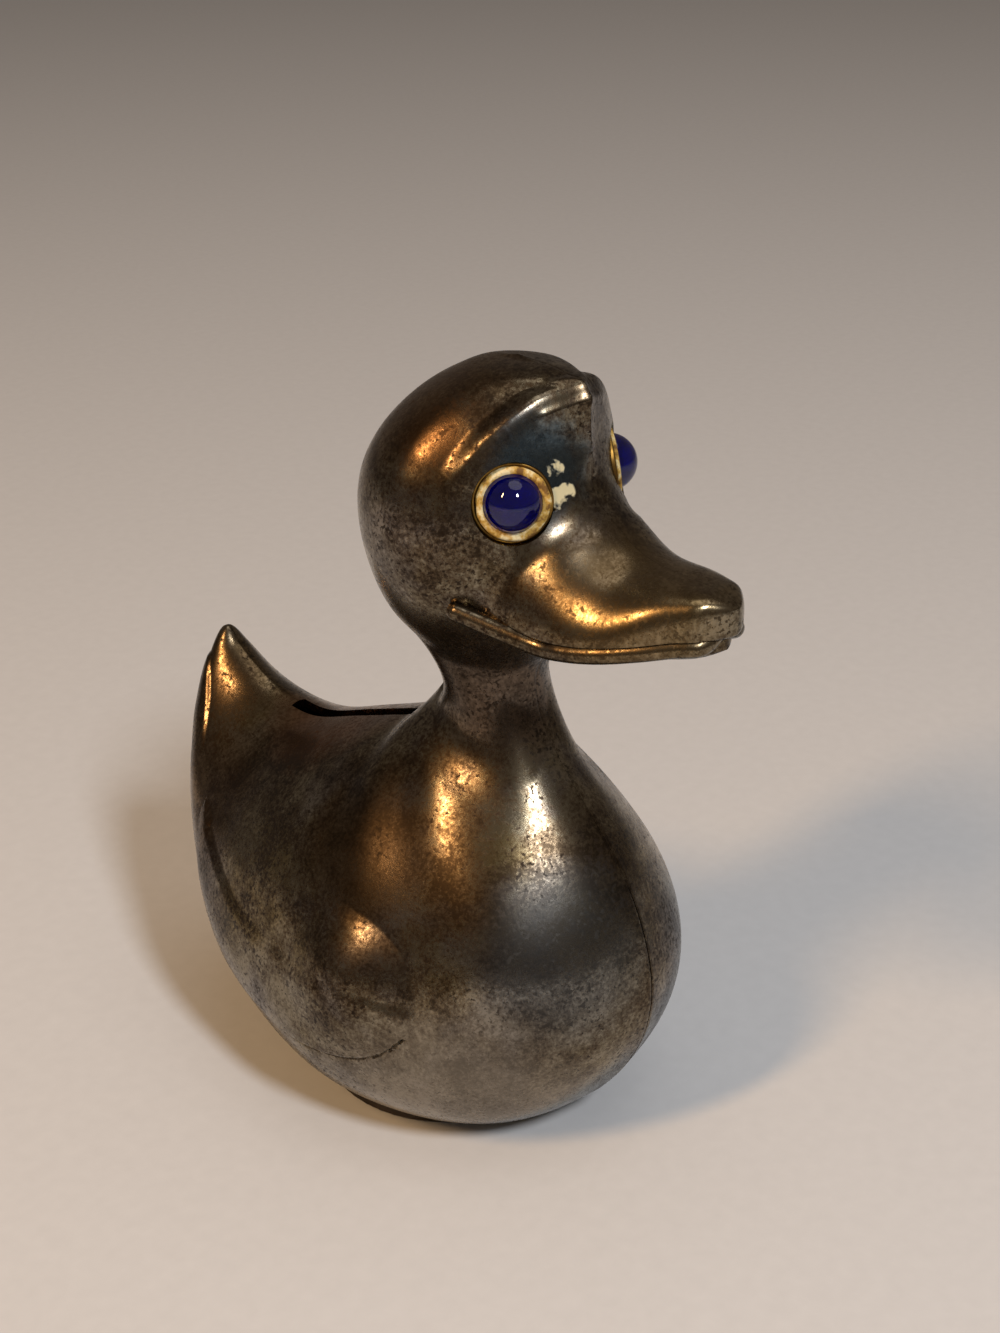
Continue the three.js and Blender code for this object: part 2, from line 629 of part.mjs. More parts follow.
const silver = { color: 0x8d857a, roughness: 0.32, metalness: 1 };
const brass = { color: 0xb08d4a, roughness: 0.4, metalness: 1 };
const glass = { color: 0x0a1a8c, roughness: 0.04, metalness: 0 };
const cement = { color: 0xd9c99a, roughness: 0.8, metalness: 0 };
const fibre = { color: 0x5a4636, roughness: 0.85, metalness: 0 };
const darkSteel = { color: 0x3a3733, roughness: 0.5, metalness: 1 };

const group = new THREE.Group();
group.add(baseGroup, ...Object.values(eyeGroups));
function piece(name, body, finish, parent = group) {
  const mesh = new THREE.Mesh(geometryOf(body), new THREE.MeshStandardMaterial(finish));
  mesh.name = name;
  parent.add(mesh);
}

piece('right_half_shell', rightShell, silver);
piece('left_half_shell', leftShell, silver);
piece('lower_bill', lowerBill, silver);
for (const [name, place] of Object.entries(eyeGroups)) {
  piece(`${name}_eye_cup`, eyeCup, brass, place);
  piece(`${name}_eye_cement`, cementBed, cement, place);
  piece(`${name}_eye`, glassBall, glass, place);
}
piece('base_plate', basePlate, darkSteel, baseGroup);
piece('base_collar', baseCollar, brass, baseGroup);
piece('trap_washer', trapWasher, fibre, baseGroup);
piece('coin_plug', coinPlug, brass, baseGroup);
piece('pinch_bar', pinchBar, brass, baseGroup);

export default group;
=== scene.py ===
# %% [markdown]
# # A tarnished silver duck coin bank
# The real bank is pressed in two halves from thin sheet, silver plated, and fitted with glass eyes and a
# screw-out plug in its base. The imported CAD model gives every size. Here its pieces get their finer
# forms and their finishes. Lengths are worked out in millimetres, as in the CAD, and turned to metres
# when a mesh is made.

import math
from functools import partial

import bmesh
import bpy
import numpy as np
from mathutils import Matrix, Vector
from mathutils.bvhtree import BVHTree


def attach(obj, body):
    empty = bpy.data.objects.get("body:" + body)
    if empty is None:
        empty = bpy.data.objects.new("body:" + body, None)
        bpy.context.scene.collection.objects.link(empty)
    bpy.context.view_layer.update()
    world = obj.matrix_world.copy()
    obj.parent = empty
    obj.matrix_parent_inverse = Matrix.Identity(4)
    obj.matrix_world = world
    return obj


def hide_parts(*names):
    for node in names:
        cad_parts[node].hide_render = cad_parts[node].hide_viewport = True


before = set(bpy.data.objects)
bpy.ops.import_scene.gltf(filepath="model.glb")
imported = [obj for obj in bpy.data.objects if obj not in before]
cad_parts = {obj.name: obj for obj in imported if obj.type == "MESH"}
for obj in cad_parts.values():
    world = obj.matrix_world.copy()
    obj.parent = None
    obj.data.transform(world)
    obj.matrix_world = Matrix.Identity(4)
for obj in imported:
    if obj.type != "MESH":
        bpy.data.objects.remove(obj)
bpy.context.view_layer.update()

# %% [markdown]
# ## The duck's sections
# A pressed shell has no flat places, so its form is a loft: oval sections from the tail's tip, round the
# belly and the chest, and up to the crown. The duck's table is the one that the CAD uses. The bill's is too,
# but its last rows are a little squarer here. Each row of the duck has a point on the back and one across
# from it, as forward and up, then the half width, where the section is widest, and how round its ends are.

# %% Tables of sections
DUCK_SECTIONS = np.array([
    [-50.1, 65.4, -50.7, 65.2, 0, 0.5, 2, 2],
    [-46.6, 62.5, -52.5, 59.7, 4.1, 0.6, 1.6, 2],
    [-41.6, 59.0, -53.2, 52.8, 7.6, 0.64, 1.45, 2],
    [-35.5, 56.6, -52.3, 43.3, 12.0, 0.66, 1.5, 2],
    [-28.4, 55.7, -48.3, 32.0, 17.2, 0.66, 1.7, 2],
    [-20.8, 57.9, -41.0, 19.3, 22.7, 0.64, 1.85, 2],
    [-14.3, 60.1, -29.8, 7.6, 27.4, 0.63, 1.95, 2],
    [-9.6, 61.7, -14.8, -0.3, 30.5, 0.62, 2, 2],
    [-6.2, 63.0, 2.4, -3.2, 32.3, 0.62, 1.9, 1.95],
    [-3.9, 65.2, 22.6, 1.1, 30.4, 0.62, 1.9, 2],
    [-1.8, 67.6, 35.7, 13.8, 25.6, 0.64, 1.8, 2],
    [-0.3, 70.0, 40.7, 29.5, 19.2, 0.62, 1.8, 2],
    [0.3, 72.5, 35.3, 47.1, 11.0, 0.57, 1.9, 2],
    [0.5, 75.5, 24.7, 60.5, 7.8, 0.53, 2, 2],
    [-0.3, 78.6, 18.7, 70.5, 8.6, 0.52, 2, 2],
    [-3.5, 82.0, 18.4, 78.1, 9.8, 0.5, 2, 2],
    [-6.8, 87.0, 22.2, 83.5, 14.2, 0.5, 2, 1.8],
    [-8.1, 93.2, 27.2, 90.0, 18.5, 0.49, 2, 1.7],
    [-8.3, 100.5, 30.2, 99.1, 21.6, 0.47, 2, 1.6],
    [-7.5, 108.5, 28.9, 108.5, 21.3, 0.45, 2, 1.6],
    [-3.3, 116.3, 27.3, 116.3, 17.8, 0.44, 2, 1.55],
    [3.7, 122.3, 25.7, 123.4, 10.0, 0.42, 2, 1.5],
    [11.7, 125.1, 16.7, 125.3, 0, 0.5, 2, 2],
], float)
BILL_ROWS = np.array([  # forward, ridge height, rim height, half width, squareness of its top
    [14.7, 110.5, 92.5, 15.5, 1.7],
    [22.7, 110.0, 91.7, 15.3, 1.7],
    [28.7, 107.5, 90.8, 14.6, 1.7],
    [33.7, 102.7, 90.7, 13.8, 1.75],
    [38.7, 100.2, 91.3, 12.4, 1.9],
    [43.7, 99.5, 92.2, 9.9, 2.5],
    [47.7, 99.1, 93.0, 7.2, 3.3],
    [50.7, 98.6, 93.4, 4.8, 4.0],
    [53.2, 96.9, 94.6, 0, 4.0],
], float)
RIM_THICKNESS = 1.2
RIM_ROUND = 2.5  # how round the bill's underside is
RIM_SHARE = 0.6  # how much of a push its underside takes up
WALL = 1.4
GAP = 0.3  # between two pieces that are soldered or set side by side

print("sections of the duck:", len(DUCK_SECTIONS), "and of its bill:", len(BILL_ROWS))

# %% [markdown]
# The hollow inside and the gaps beside other pieces need the same form a little smaller or larger. Each
# section is pushed in square to the surface, which leaves a wall as even as pressed sheet has.

# %% Sections pushed in or out


def unit(vectors):
    return vectors / np.linalg.norm(vectors, axis=1)[:, None]


def neighbours(count):
    """For each row, the numbers of the row before it and the row after it."""
    rows = np.arange(count)
    return np.maximum(rows - 1, 0), np.minimum(rows + 1, count - 1)


def duck_rows(depth):
    """The duck's sections, pushed in by a depth in millimetres, which can also be given row by row."""
    rows = DUCK_SECTIONS.copy()
    depth = np.broadcast_to(np.asarray(depth, float), len(rows))
    inner, outer, half = rows[:, 0:2], rows[:, 2:4], rows[:, 4]
    middle = (inner + outer) / 2
    before, after = neighbours(len(rows))
    back, front = unit(inner[after] - inner[before]), unit(outer[after] - outer[before])
    inwards = np.column_stack([back[:, 1], -back[:, 0]]), np.column_stack([-front[:, 1], front[:, 0]])
    along = middle[after] - middle[before]
    slope = np.arctan2(half[after] - half[before], np.linalg.norm(along, axis=1))
    ahead = depth * np.einsum("ij,ij->i", (inwards[0] + inwards[1]) / 2, unit(along))
    pushed = half - (depth - ahead * np.sin(slope)) / np.cos(slope)
    moves = [depth[:, None] * inwards[0], depth[:, None] * inwards[1]]
    for tip, beside in ((0, 1), (-1, -2)):
        towards = middle[beside] - middle[tip]
        for move in moves:
            move[tip] = depth[tip] * towards / np.linalg.norm(towards)
        pushed[tip] = 0
    return np.column_stack([inner + moves[0], outer + moves[1], pushed, rows[:, 5:]])


def bill_rows(depth):
    """The upper bill's sections, pushed in by a depth. Towards the tip they move back too."""
    forward, ridge, rim, half, top_round = BILL_ROWS.T
    before, after = neighbours(len(half))
    slope = np.arctan2(half[before] - half[after], forward[after] - forward[before])
    slope[-1] = math.pi / 2
    back = forward - depth * np.maximum(np.sin(slope), 0)
    pushed = np.where(half > 0, half - depth * np.cos(slope), 0)
    bottom = rim - RIM_THICKNESS
    wide = (ridge - rim) / (ridge - bottom)
    return np.column_stack([
        back, ridge - depth, back, bottom + RIM_SHARE * depth, pushed, wide, top_round,
        np.full(len(wide), RIM_ROUND),
    ])


inner_half = duck_rows(WALL)[:, 4].max()
print("half width of the hollow inside, mm:", inner_half.round(2))

# %% [markdown]
# ## A smooth surface through the sections
# A natural cubic spline runs through the rows, so the surface has no kinks between them. Any place along
# it and any angle round it give a point, which lets a mesh be as fine as a highlight needs.

# %% Points on a lofted surface
def natural_spline(rows):
    """A natural cubic spline through equally spaced rows, as a function of places."""
    last = len(rows) - 1
    links = np.ones(last - 2)
    system = np.diag(np.full(last - 1, 4.0)) + np.diag(links, 1) + np.diag(links, -1)
    bends = np.zeros_like(rows)
    bends[1:last] = np.linalg.solve(system, 6 * (rows[:-2] - 2 * rows[1:-1] + rows[2:]))

    def at(place):
        i = np.clip(np.floor(place).astype(int), 0, last - 1)
        b = (place - i)[:, None]
        a = 1 - b
        straight = a * rows[i] + b * rows[i + 1]
        return straight + ((a ** 3 - a) * bends[i] + (b ** 3 - b) * bends[i + 1]) / 6

    return at


def loft_surface(rows):
    """A function from places and angles to points (x, forward, up) on the loft. The duck's right is -x."""
    middle = (rows[:, 0:2] + rows[:, 2:4]) / 2
    reach = (rows[:, 2:4] - rows[:, 0:2]) / 2
    at = natural_spline(np.hstack([middle, reach, rows[:, 4:]]))
    last = len(rows) - 1

    def slow(t):
        return t * t * (2 - t)

    def point(place, angle):
        eased = np.where(place < 1, slow(place), place)
        eased = np.where(place > last - 1, last - slow(last - place), eased)
        row = at(place)
        centre = at(eased)[:, 0:2]
        half, wide, round_in, round_out = row[:, 4:].T
        cos, sin = np.cos(angle), np.sin(angle)
        power = 2 / np.where(cos >= 0, round_in, round_out)
        share = np.abs(cos) ** power
        share = np.where(cos >= 0, wide * (1 - share), wide + (1 - wide) * share)
        side = -half * np.sign(sin) * np.abs(sin) ** power
        spot = centre - row[:, 2:4] + 2 * row[:, 2:4] * share[:, None]
        return np.column_stack([side, spot])

    return point


duck_point = loft_surface(duck_rows(0))
underside = duck_point(np.linspace(6, 10, 200), np.full(200, math.pi))
print("belly's lowest point, mm:", underside[:, 2].min().round(2))

# %% [markdown]
# ## Raised and sunk details
# The press leaves more than the bare form: brow ridges, folded wings with a crisp lower edge, and a seam
# down the middle. Each is a small height above or below the surface, worked out from how far a point lies
# from a line on the duck. That keeps them soft where the metal is soft, and crisp where it is crisp.

# %% Distances from lines on the duck
def smooth_step(value):
    value = np.clip(value, 0, 1)
    return value * value * (3 - 2 * value)


def bell(value, width):
    return np.exp(-((value / width) ** 2))


def line_distance(points, line, normals=None):
    """Distance from each point to a line of points, how far along it (0 to 1), and on which side."""
    line = np.asarray(line, float)
    lengths = np.linalg.norm(np.diff(line, axis=0), axis=1)
    travelled = np.concatenate([[0], np.cumsum(lengths)])
    best = np.full(len(points), np.inf)
    along = np.zeros(len(points))
    side = np.ones(len(points))
    for k in range(len(line) - 1):
        step = line[k + 1] - line[k]
        share = np.clip((points - line[k]) @ step / (step @ step), 0, 1)
        off = points - (line[k] + share[:, None] * step)
        distance = np.linalg.norm(off, axis=1)
        closer = distance < best
        best = np.where(closer, distance, best)
        along = np.where(closer, (travelled[k] + share * lengths[k]) / travelled[-1], along)
        if normals is not None:
            turn = np.sign(np.einsum("ij,ij->i", np.cross(step, off), normals))
            side = np.where(closer, turn, side)
    return best, along, side


print("bell at its width:", round(float(bell(1.0, 1.0)), 3))

# %% [markdown]
# The brow runs from the peak of the forehead down to beside the eye. The crown rolls over it into a cove,
# and below the cove the face is nearly flat. A short fold lies just under the peak, and the two sides of the
# face meet in a keel on the middle line.

# %% Brow and face
BROW = [
    (0.0, 26.3, 124.0), (-3.5, 24.5, 122.9), (-6.6, 22.8, 121.6), (-9.9, 20.9, 119.2),
    (-13.2, 19.0, 116.2), (-15.3, 18.0, 113.8), (-16.9, 17.1, 111.5), (-18.1, 16.8, 108.4),
]
BROW_RISE = 1.1
BROW_EDGE = 1.3  # how far the ridge's edge is rounded, in millimetres
COVE_DEPTH = 0.8
FOLD_RISE = 0.36
KEEL_FALL = 0.85  # how far the flat sides of the face lie behind its keel
FOREHEAD_FOLD = [(0.0, 26.9, 121.2), (-4.1, 25.0, 120.4), (-7.6, 22.9, 119.1)]


def brow_height(points, normals):
    """Height of the brow's ridge, its cove and the fold under its peak."""
    distance, along, side = line_distance(points, BROW, normals)
    over = distance * side  # positive on the face's side
    rise = BROW_RISE * (0.2 + 0.8 * smooth_step(np.abs(points[:, 0]) / 8))
    away = np.sqrt(over ** 2 + BROW_EDGE ** 2) - BROW_EDGE
    cove = -COVE_DEPTH * smooth_step(over / 3) * np.exp(-np.maximum(over - 3, 0) / 9)
    fade = (1 - 0.4 * smooth_step((along - 0.4) / 0.4)) * (1 - smooth_step((along - 0.72) / 0.28))
    behind = np.clip(1 - away / 7.2, 0, 1) ** 2
    height = np.where(over > 0, rise * np.exp(-away / 1.6) + cove, rise * behind) * fade
    distance, along, _ = line_distance(points, FOREHEAD_FOLD)
    return height + FOLD_RISE * bell(distance, 0.8) * (1 - smooth_step((along - 0.75) / 0.25))


def face_keel(points):
    """The keel down the middle of the face: the flat sides fall away from it."""
    side, forward, up = points.T
    reach = smooth_step((124.4 - up) / 1.2) * smooth_step((up - 103) / 4) * smooth_step((forward - 15) / 4)
    fall = 1 - np.exp(-np.abs(side) / 1.5)
    return (0.1 - KEEL_FALL * fall * bell(side, 9.0)) * reach


print("points on the brow:", len(BROW))

# %% [markdown]
# A wing lies folded on each flank. Its form is easiest to say along a middle line from its round front to its
# tip, so each point of the flank is first placed along and across that line.

# %% The wing's middle line
WING_ROWS = np.array([  # forward, up, half width
    [17.8, 30, 0], [14.5, 30, 6.9], [8, 30.6, 11.2], [-1, 31, 13], [-10, 31.3, 13.5],
    [-19, 32.5, 13.2], [-27, 35.2, 11.2], [-33, 38.4, 6.8], [-37, 41.3, 3.0], [-39, 43, 0],
], float)
CHUNK = 20000  # points that are worked on at a time, to spare memory

wing_at = natural_spline(WING_ROWS)
wing_places = np.linspace(0, len(WING_ROWS) - 1, 361)
wing_line = wing_at(wing_places)
wing_heading = np.gradient(wing_line[:, :2], axis=0)
wing_heading /= np.linalg.norm(wing_heading, axis=1)[:, None]


def wing_coordinates(points):
    """For each point: the place along the wing, how far below its middle line, and the half width there."""
    place, below, spread = np.zeros((3, len(points)))
    for start in range(0, len(points), CHUNK):
        part = slice(start, start + CHUNK)
        seen = points[part, 1:3]
        gaps = np.linalg.norm(seen[:, None] - wing_line[None, :, :2], axis=2)
        k = np.argmin(gaps, axis=1)
        off = seen - wing_line[k, :2]
        heading = wing_heading[k]
        place[part] = wing_places[k]
        below[part] = off[:, 1] * heading[:, 0] - off[:, 0] * heading[:, 1]
        spread[part] = np.maximum(wing_line[k, 2], 0.01)
    return place, below, spread


wing_length = np.linalg.norm(WING_ROWS[0, :2] - WING_ROWS[-1, :2])
print("wing's length in millimetres:", wing_length.round(1))

# %% [markdown]
# The wing swells out in front, behind a crescent edge, and melts into the flank above and behind. Its lower
# edge stays crisp all the way back, where it ends in a small hook, and a fine groove runs along it.

# %% Wing
WING_SWELL = 0.3
WING_STEP = 0.5
WING_GROOVE = 0.42
WING_TOP = 60  # no part of the wing is higher than this
SHOULDER = (4.5, 32.0)  # forward and up of the round shoulder in the wing's front
SHOULDER_RADIUS = 12.0
SHOULDER_RISE = 2.1
FAR_OFF = 99  # stands for points that a detail doesn't reach


def wing_height(points):
    """Height of the wing's relief, and how far each point is from the wing's edge."""
    place, below, spread = wing_coordinates(points)
    on_flank = (np.abs(points[:, 0]) > 0.8) & (points[:, 2] < WING_TOP)
    inside = spread - np.abs(below)
    ratio = np.clip(np.abs(below) / spread, 0, 1)
    lower = below > 0
    front = 1 - smooth_step((place - 2.0) / 1.6)
    above = (1 - ratio ** 2) * front + (1 - ratio) ** 2 * (1 + 2 * ratio) * (1 - front)
    pillow = np.where(lower, 1 - ratio ** 2, above)
    off_shoulder = np.hypot(points[:, 1] - SHOULDER[0], points[:, 2] - SHOULDER[1]) / SHOULDER_RADIUS
    shoulder = SHOULDER_RISE * np.clip(1 - off_shoulder ** 2, 0, 1) ** 2
    rise = (WING_SWELL * pillow + shoulder) * smooth_step(spread / 5) * smooth_step(inside / 2.5)
    edge = np.where(lower, 1.0, 0.16 * front)
    softness = np.where(lower, 0.45, 0.8)
    step = WING_STEP * edge * smooth_step(inside / softness) * smooth_step(spread / 1.5)
    reach = smooth_step(place / 0.6) * (1 - smooth_step((place - 7.4) / 0.6))
    groove = -WING_GROOVE * np.where(lower, reach, 0) * bell(inside + 0.15, 0.3)
    height = np.where(inside > 0, rise + step, 0) + groove
    return np.where(on_flank, height, 0), np.where(on_flank, np.abs(inside), FAR_OFF)


on_shoulder = wing_height(np.array([[-30.0, *SHOULDER]]))[0]
print("height of the wing's relief at its shoulder, mm:", on_shoulder.round(2))

# %% [markdown]
# Beside the tail's tip, a second feather stands a little proud of the rump. Its front edge is a fine line
# that fades downwards, and its top makes a small shoulder in the outline.

# %% Tail feather
FEATHER_UP = [46.0, 49.4, 52.1, 54.8, 58.3, 61.0, 63.0]
FEATHER_FORWARD = [-43.4, -44.5, -45.6, -46.8, -48.5, -50.0, -51.2]
FEATHER_BOTTOM, FEATHER_TOP = 46, 61.4
FEATHER_RISE = 0.3


def feather_height(points):
    """Height of the feather's relief, and how far each point is from the feather's edge."""
    forward, up = points[:, 1], points[:, 2]
    behind = np.interp(up, FEATHER_UP, FEATHER_FORWARD) - forward
    inside = np.minimum(behind, FEATHER_TOP - up)
    fade = smooth_step((up - 46.5) / 6)
    rise = FEATHER_RISE * smooth_step(inside / 1.2)
    here = up > FEATHER_BOTTOM
    return np.where(here & (forward < -40), rise * fade, 0), np.where(here, np.abs(inside), FAR_OFF)


print("the feather's edge is", len(FEATHER_UP), "points long")

# %% [markdown]
# The two halves meet in a seam. On the chest it shows as a fine line where the halves meet at a slight
# angle, and elsewhere it's nearly polished away.

# %% Seam and the sum of all details
SEAM_GROOVE = 0.09
SEAM_WIDTH = 0.22
CHEST_KEEL = 0.5
BODY_BELOW, HEAD_ABOVE = 66, 100  # heights that the details of the body and of the head keep to
FINE_BY_A_CREASE, FINE_BY_THE_BROW = 1.3, 3.5  # how wide the finer mesh is beside them


def seam_height(points):
    side, forward, up = points.T
    chest = smooth_step((forward - 12) / 8) * (1 - smooth_step((up - 62) / 8))
    keel = CHEST_KEEL * np.exp(-np.abs(side) / 2.2) * chest
    return keel - SEAM_GROOVE * (0.5 + chest) * bell(side, SEAM_WIDTH)


def duck_height(points, normals):
    """Height of all the raised and sunk details at points on the duck's right side."""
    height = seam_height(points)
    head = points[:, 2] > HEAD_ABOVE
    height[head] += brow_height(points[head], normals[head]) + face_keel(points[head])
    body = points[:, 2] < BODY_BELOW
    height[body] += wing_height(points[body])[0] + feather_height(points[body])[0]
    return height


def near_a_crease(points):
    """True where the mesh has to be finer: along the edges of the wing and the feather, and the brow."""
    near = np.zeros(len(points), bool)
    body = (points[:, 2] < BODY_BELOW) & (points[:, 0] < -0.3)
    for detail in (wing_height, feather_height):
        near[body] |= detail(points[body])[1] < FINE_BY_A_CREASE
    head = points[:, 2] > HEAD_ABOVE + 4
    near[head] |= line_distance(points[head], BROW)[0] < FINE_BY_THE_BROW
    return near


print("the seam's groove on the chest, mm:", 1.5 * SEAM_GROOVE)

# %% [markdown]
# ## From sections to a mesh
# The skin is a grid of places and angles. Only the right side is fine: the left half is made by mirroring
# it, so the left side is there just to close the solid while it's cut.

# %% Grids and meshes
def skin_grid(last, count, angles):
    """Places and angles of a closed grid with a pole at each end, and its faces."""
    places = np.linspace(0, last, count + 1)[1:-1]
    ring = len(angles)
    grid_place = np.repeat(places, ring)
    grid_angle = np.tile(angles, len(places))
    all_place = np.concatenate([[0], grid_place, [last]])
    all_angle = np.concatenate([[math.pi / 2], grid_angle, [math.pi / 2]])
    faces = []
    for i in range(ring):
        j = (i + 1) % ring
        faces.append((0, 1 + j, 1 + i))
        for row in range(len(places) - 1):
            a, b = 1 + row * ring + i, 1 + row * ring + j
            faces.append((a, b, b + ring, a + ring))
        end = 1 + (len(places) - 1) * ring
        faces.append((len(all_place) - 1, end + i, end + j))
    return all_place, all_angle, faces


def metres(points):
    """Points (x, forward, up) in millimetres as Blender's (x, y, z) in metres."""
    return np.column_stack([points[:, 0], -points[:, 1], points[:, 2]]) / 1000


def placed(name, data):
    """A new object in the scene, from a mesh, a lamp or a camera."""
    made = bpy.data.objects.new(name, data)
    bpy.context.scene.collection.objects.link(made)
    return made


def mesh_object(name, points, faces):
    """A new object from points in millimetres, its normals made consistent and outward."""
    mesh = bpy.data.meshes.new(name)
    mesh.from_pydata(metres(points).tolist(), [], [list(face) for face in faces])
    work = bmesh.new()
    work.from_mesh(mesh)
    bmesh.ops.recalc_face_normals(work, faces=work.faces)
    if work.calc_volume(signed=True) < 0:
        bmesh.ops.reverse_faces(work, faces=work.faces)
    work.to_mesh(mesh)
    work.free()
    return placed(name, mesh)


def plain_loft(name, rows, per_section, columns):
    """A closed loft without details."""
    last = len(rows) - 1
    angles = np.linspace(0, 2 * math.pi, columns, endpoint=False)
    place, angle, faces = skin_grid(last, last * per_section, angles)
    return mesh_object(name, loft_surface(rows)(place, angle), faces)


bill_skin = plain_loft("bill_skin", bill_rows(0), 14, 96)
print("faces in the bill's skin:", len(bill_skin.data.polygons))

# %% [markdown]
# A highlight shows every facet, and the edges of the wing and the brow are less than a millimetre wide. So
# near a crease the grid of the duck's body is divided twice more, and only then are the points worked out.
# The finer points then lie on the true surface too.

# %% Skin of the duck's body
PLACES_PER_SECTION = 12
SEAM_ANGLES = np.array([0, 0.008, 0.02, 0.04, 0.07])  # closer together at the seam
PLAIN_FROM = 0.11
FINE_COLUMNS = 88
PLAIN_COLUMNS = 10
NORMAL_STEP = 2e-3  # in places and in radians


def surface_normals(point, place, angle, last):
    """Unit normals of a loft at places and angles."""
    ahead, behind = (np.clip(place + step, 0, last) for step in (NORMAL_STEP, -NORMAL_STEP))
    along = point(ahead, angle) - point(behind, angle)
    around = point(place, angle + NORMAL_STEP) - point(place, angle - NORMAL_STEP)
    normal = np.cross(along, around)
    length = np.linalg.norm(normal, axis=1)
    return normal / np.where(length > 0, length, 1)[:, None]


def fine_duck_skin():
    """The duck's skin, divided near its creases, with all its details."""
    last = len(DUCK_SECTIONS) - 1
    angles = np.concatenate([
        SEAM_ANGLES, np.linspace(PLAIN_FROM, math.pi - PLAIN_FROM, FINE_COLUMNS),
        math.pi - SEAM_ANGLES[::-1], np.linspace(math.pi, 2 * math.pi, PLAIN_COLUMNS)[1:-1],
    ])
    place, angle, faces = skin_grid(last, last * PLACES_PER_SECTION, angles)
    work = bmesh.new()
    layers = [work.verts.layers.float.new(name) for name in ("place", "angle")]
    vertices = [work.verts.new((0, 0, 0)) for _ in place]
    for vertex, *spot in zip(vertices, place, angle):
        for layer, value in zip(layers, spot):
            vertex[layer] = value
    for face in faces:
        work.faces.new([vertices[i] for i in face])

    def spots():
        return [np.array([vertex[layer] for vertex in work.verts]) for layer in layers]

    for _ in range(2):
        work.verts.index_update()
        near = near_a_crease(duck_point(*spots()))
        edges = set()
        for face in work.faces:
            if len(face.verts) == 4 and all(near[v.index] for v in face.verts):
                edges.update(face.edges)
        bmesh.ops.subdivide_edges(work, edges=list(edges), cuts=1, use_grid_fill=True)
    place, angle = spots()
    points = duck_point(place, angle)
    normals = surface_normals(duck_point, place, angle, last)
    outwards = np.einsum("ij,ij->i", normals, points - duck_point(place, angle + math.pi))
    normals *= np.sign(outwards)[:, None]
    right = points[:, 0] <= 1e-6
    raised = np.zeros(len(points))
    raised[right] = duck_height(points[right], normals[right])
    points += normals * raised[:, None]
    for vertex, spot in zip(work.verts, metres(points)):
        vertex.co = spot
    bmesh.ops.recalc_face_normals(work, faces=work.faces)
    mesh = bpy.data.meshes.new("duck_skin")
    work.to_mesh(mesh)
    work.free()
    return placed("duck_skin", mesh)


duck_skin = fine_duck_skin()
print("faces in the duck's skin:", len(duck_skin.data.polygons))

# %% [markdown]
# ## The bill, the hollow and the openings
# The bill is a second loft, joined to the face. The inside is hollow, as in the CAD, and the coin slot, the
# eye sockets and the trap's well are cut through the wall. Boolean modifiers do this, and each result is
# turned back into a plain mesh.

# %% Join and cut
def box_object(name, low, high):
    """A box between two corners (x, forward, up), in millimetres."""
    corners = [(x, f, u) for x in (low[0], high[0]) for f in (low[1], high[1]) for u in (low[2], high[2])]
    faces = [(0, 1, 3, 2), (4, 6, 7, 5), (0, 4, 5, 1), (2, 3, 7, 6), (0, 2, 6, 4), (1, 5, 7, 3)]
    return mesh_object(name, np.array(corners, float), faces)


def surface_tree(piece):
    """A search tree of a piece's surface, to find how far a point is from it."""
    return BVHTree.FromPolygons(
        [vertex.co for vertex in piece.data.vertices],
        [polygon.vertices for polygon in piece.data.polygons],
    )


def combine(target, other, operation="DIFFERENCE"):
    """Cuts target with other, joins the two, or keeps what they share, and removes other."""
    modifier = target.modifiers.new("combine", "BOOLEAN")
    modifier.operation = operation
    modifier.solver = "MANIFOLD"
    modifier.object = other
    bpy.context.view_layer.update()
    evaluated = target.evaluated_get(bpy.context.evaluated_depsgraph_get())
    mesh = bpy.data.meshes.new_from_object(evaluated)
    target.modifiers.remove(modifier)
    old = target.data
    target.data = mesh
    bpy.data.meshes.remove(old)
    bpy.data.meshes.remove(other.data)
    return target


duck_tree = surface_tree(duck_skin)
bill_tree = surface_tree(bill_skin)
shell = combine(duck_skin, bill_skin, "UNION")
print("faces after the bill is joined:", len(shell.data.polygons))

# %% [markdown]
# On the real head the bill's bridge flows up between the eyes with no crease, while a fine crease stays low
# on the cheeks. So the joint is smoothed over a wide band on top and a narrow one at the cheeks. A point's
# distance from the surface that it doesn't belong to tells how near the joint it is. The neck flows as
# smoothly into the back, where the sections crowd together and leave a crease. There the skin is smoothed
# along a line round the neck's root, on both sides alike.

# %% Smooth the bill into the face and the neck into the back
JOINT_ABOVE, JOINT_FROM, JOINT_TO = 86, 10, 42  # how high and how far forward the bill's joint lies
JOINT_ROUNDS = 90
NECK_ROUNDS = 420
NECK_ROOT = [(-6.2, 1.0, 75.5), (-7.6, 4.5, 72.5), (-8.2, 9.5, 69.5), (-8.2, 15.0, 66.5)]
NECK_ROOT_WIDTH = 8.5


def relax(piece, points, weight, rounds):
    """Moves each point towards the middle of its neighbours, by its weight, many times over."""
    moving = np.where(weight > 0)[0]
    edges = np.array([edge.vertices for edge in piece.data.edges])
    edges = edges[np.isin(edges, moving).any(axis=1)]
    near_count = np.bincount(edges.ravel(), minlength=len(points))[:, None]
    for _ in range(rounds):
        total = np.zeros_like(points)
        np.add.at(total, edges[:, 0], points[edges[:, 1]])
        np.add.at(total, edges[:, 1], points[edges[:, 0]])
        average = total[moving] / near_count[moving]
        points[moving] += (average - points[moving]) * weight[moving, None]
    return len(moving)


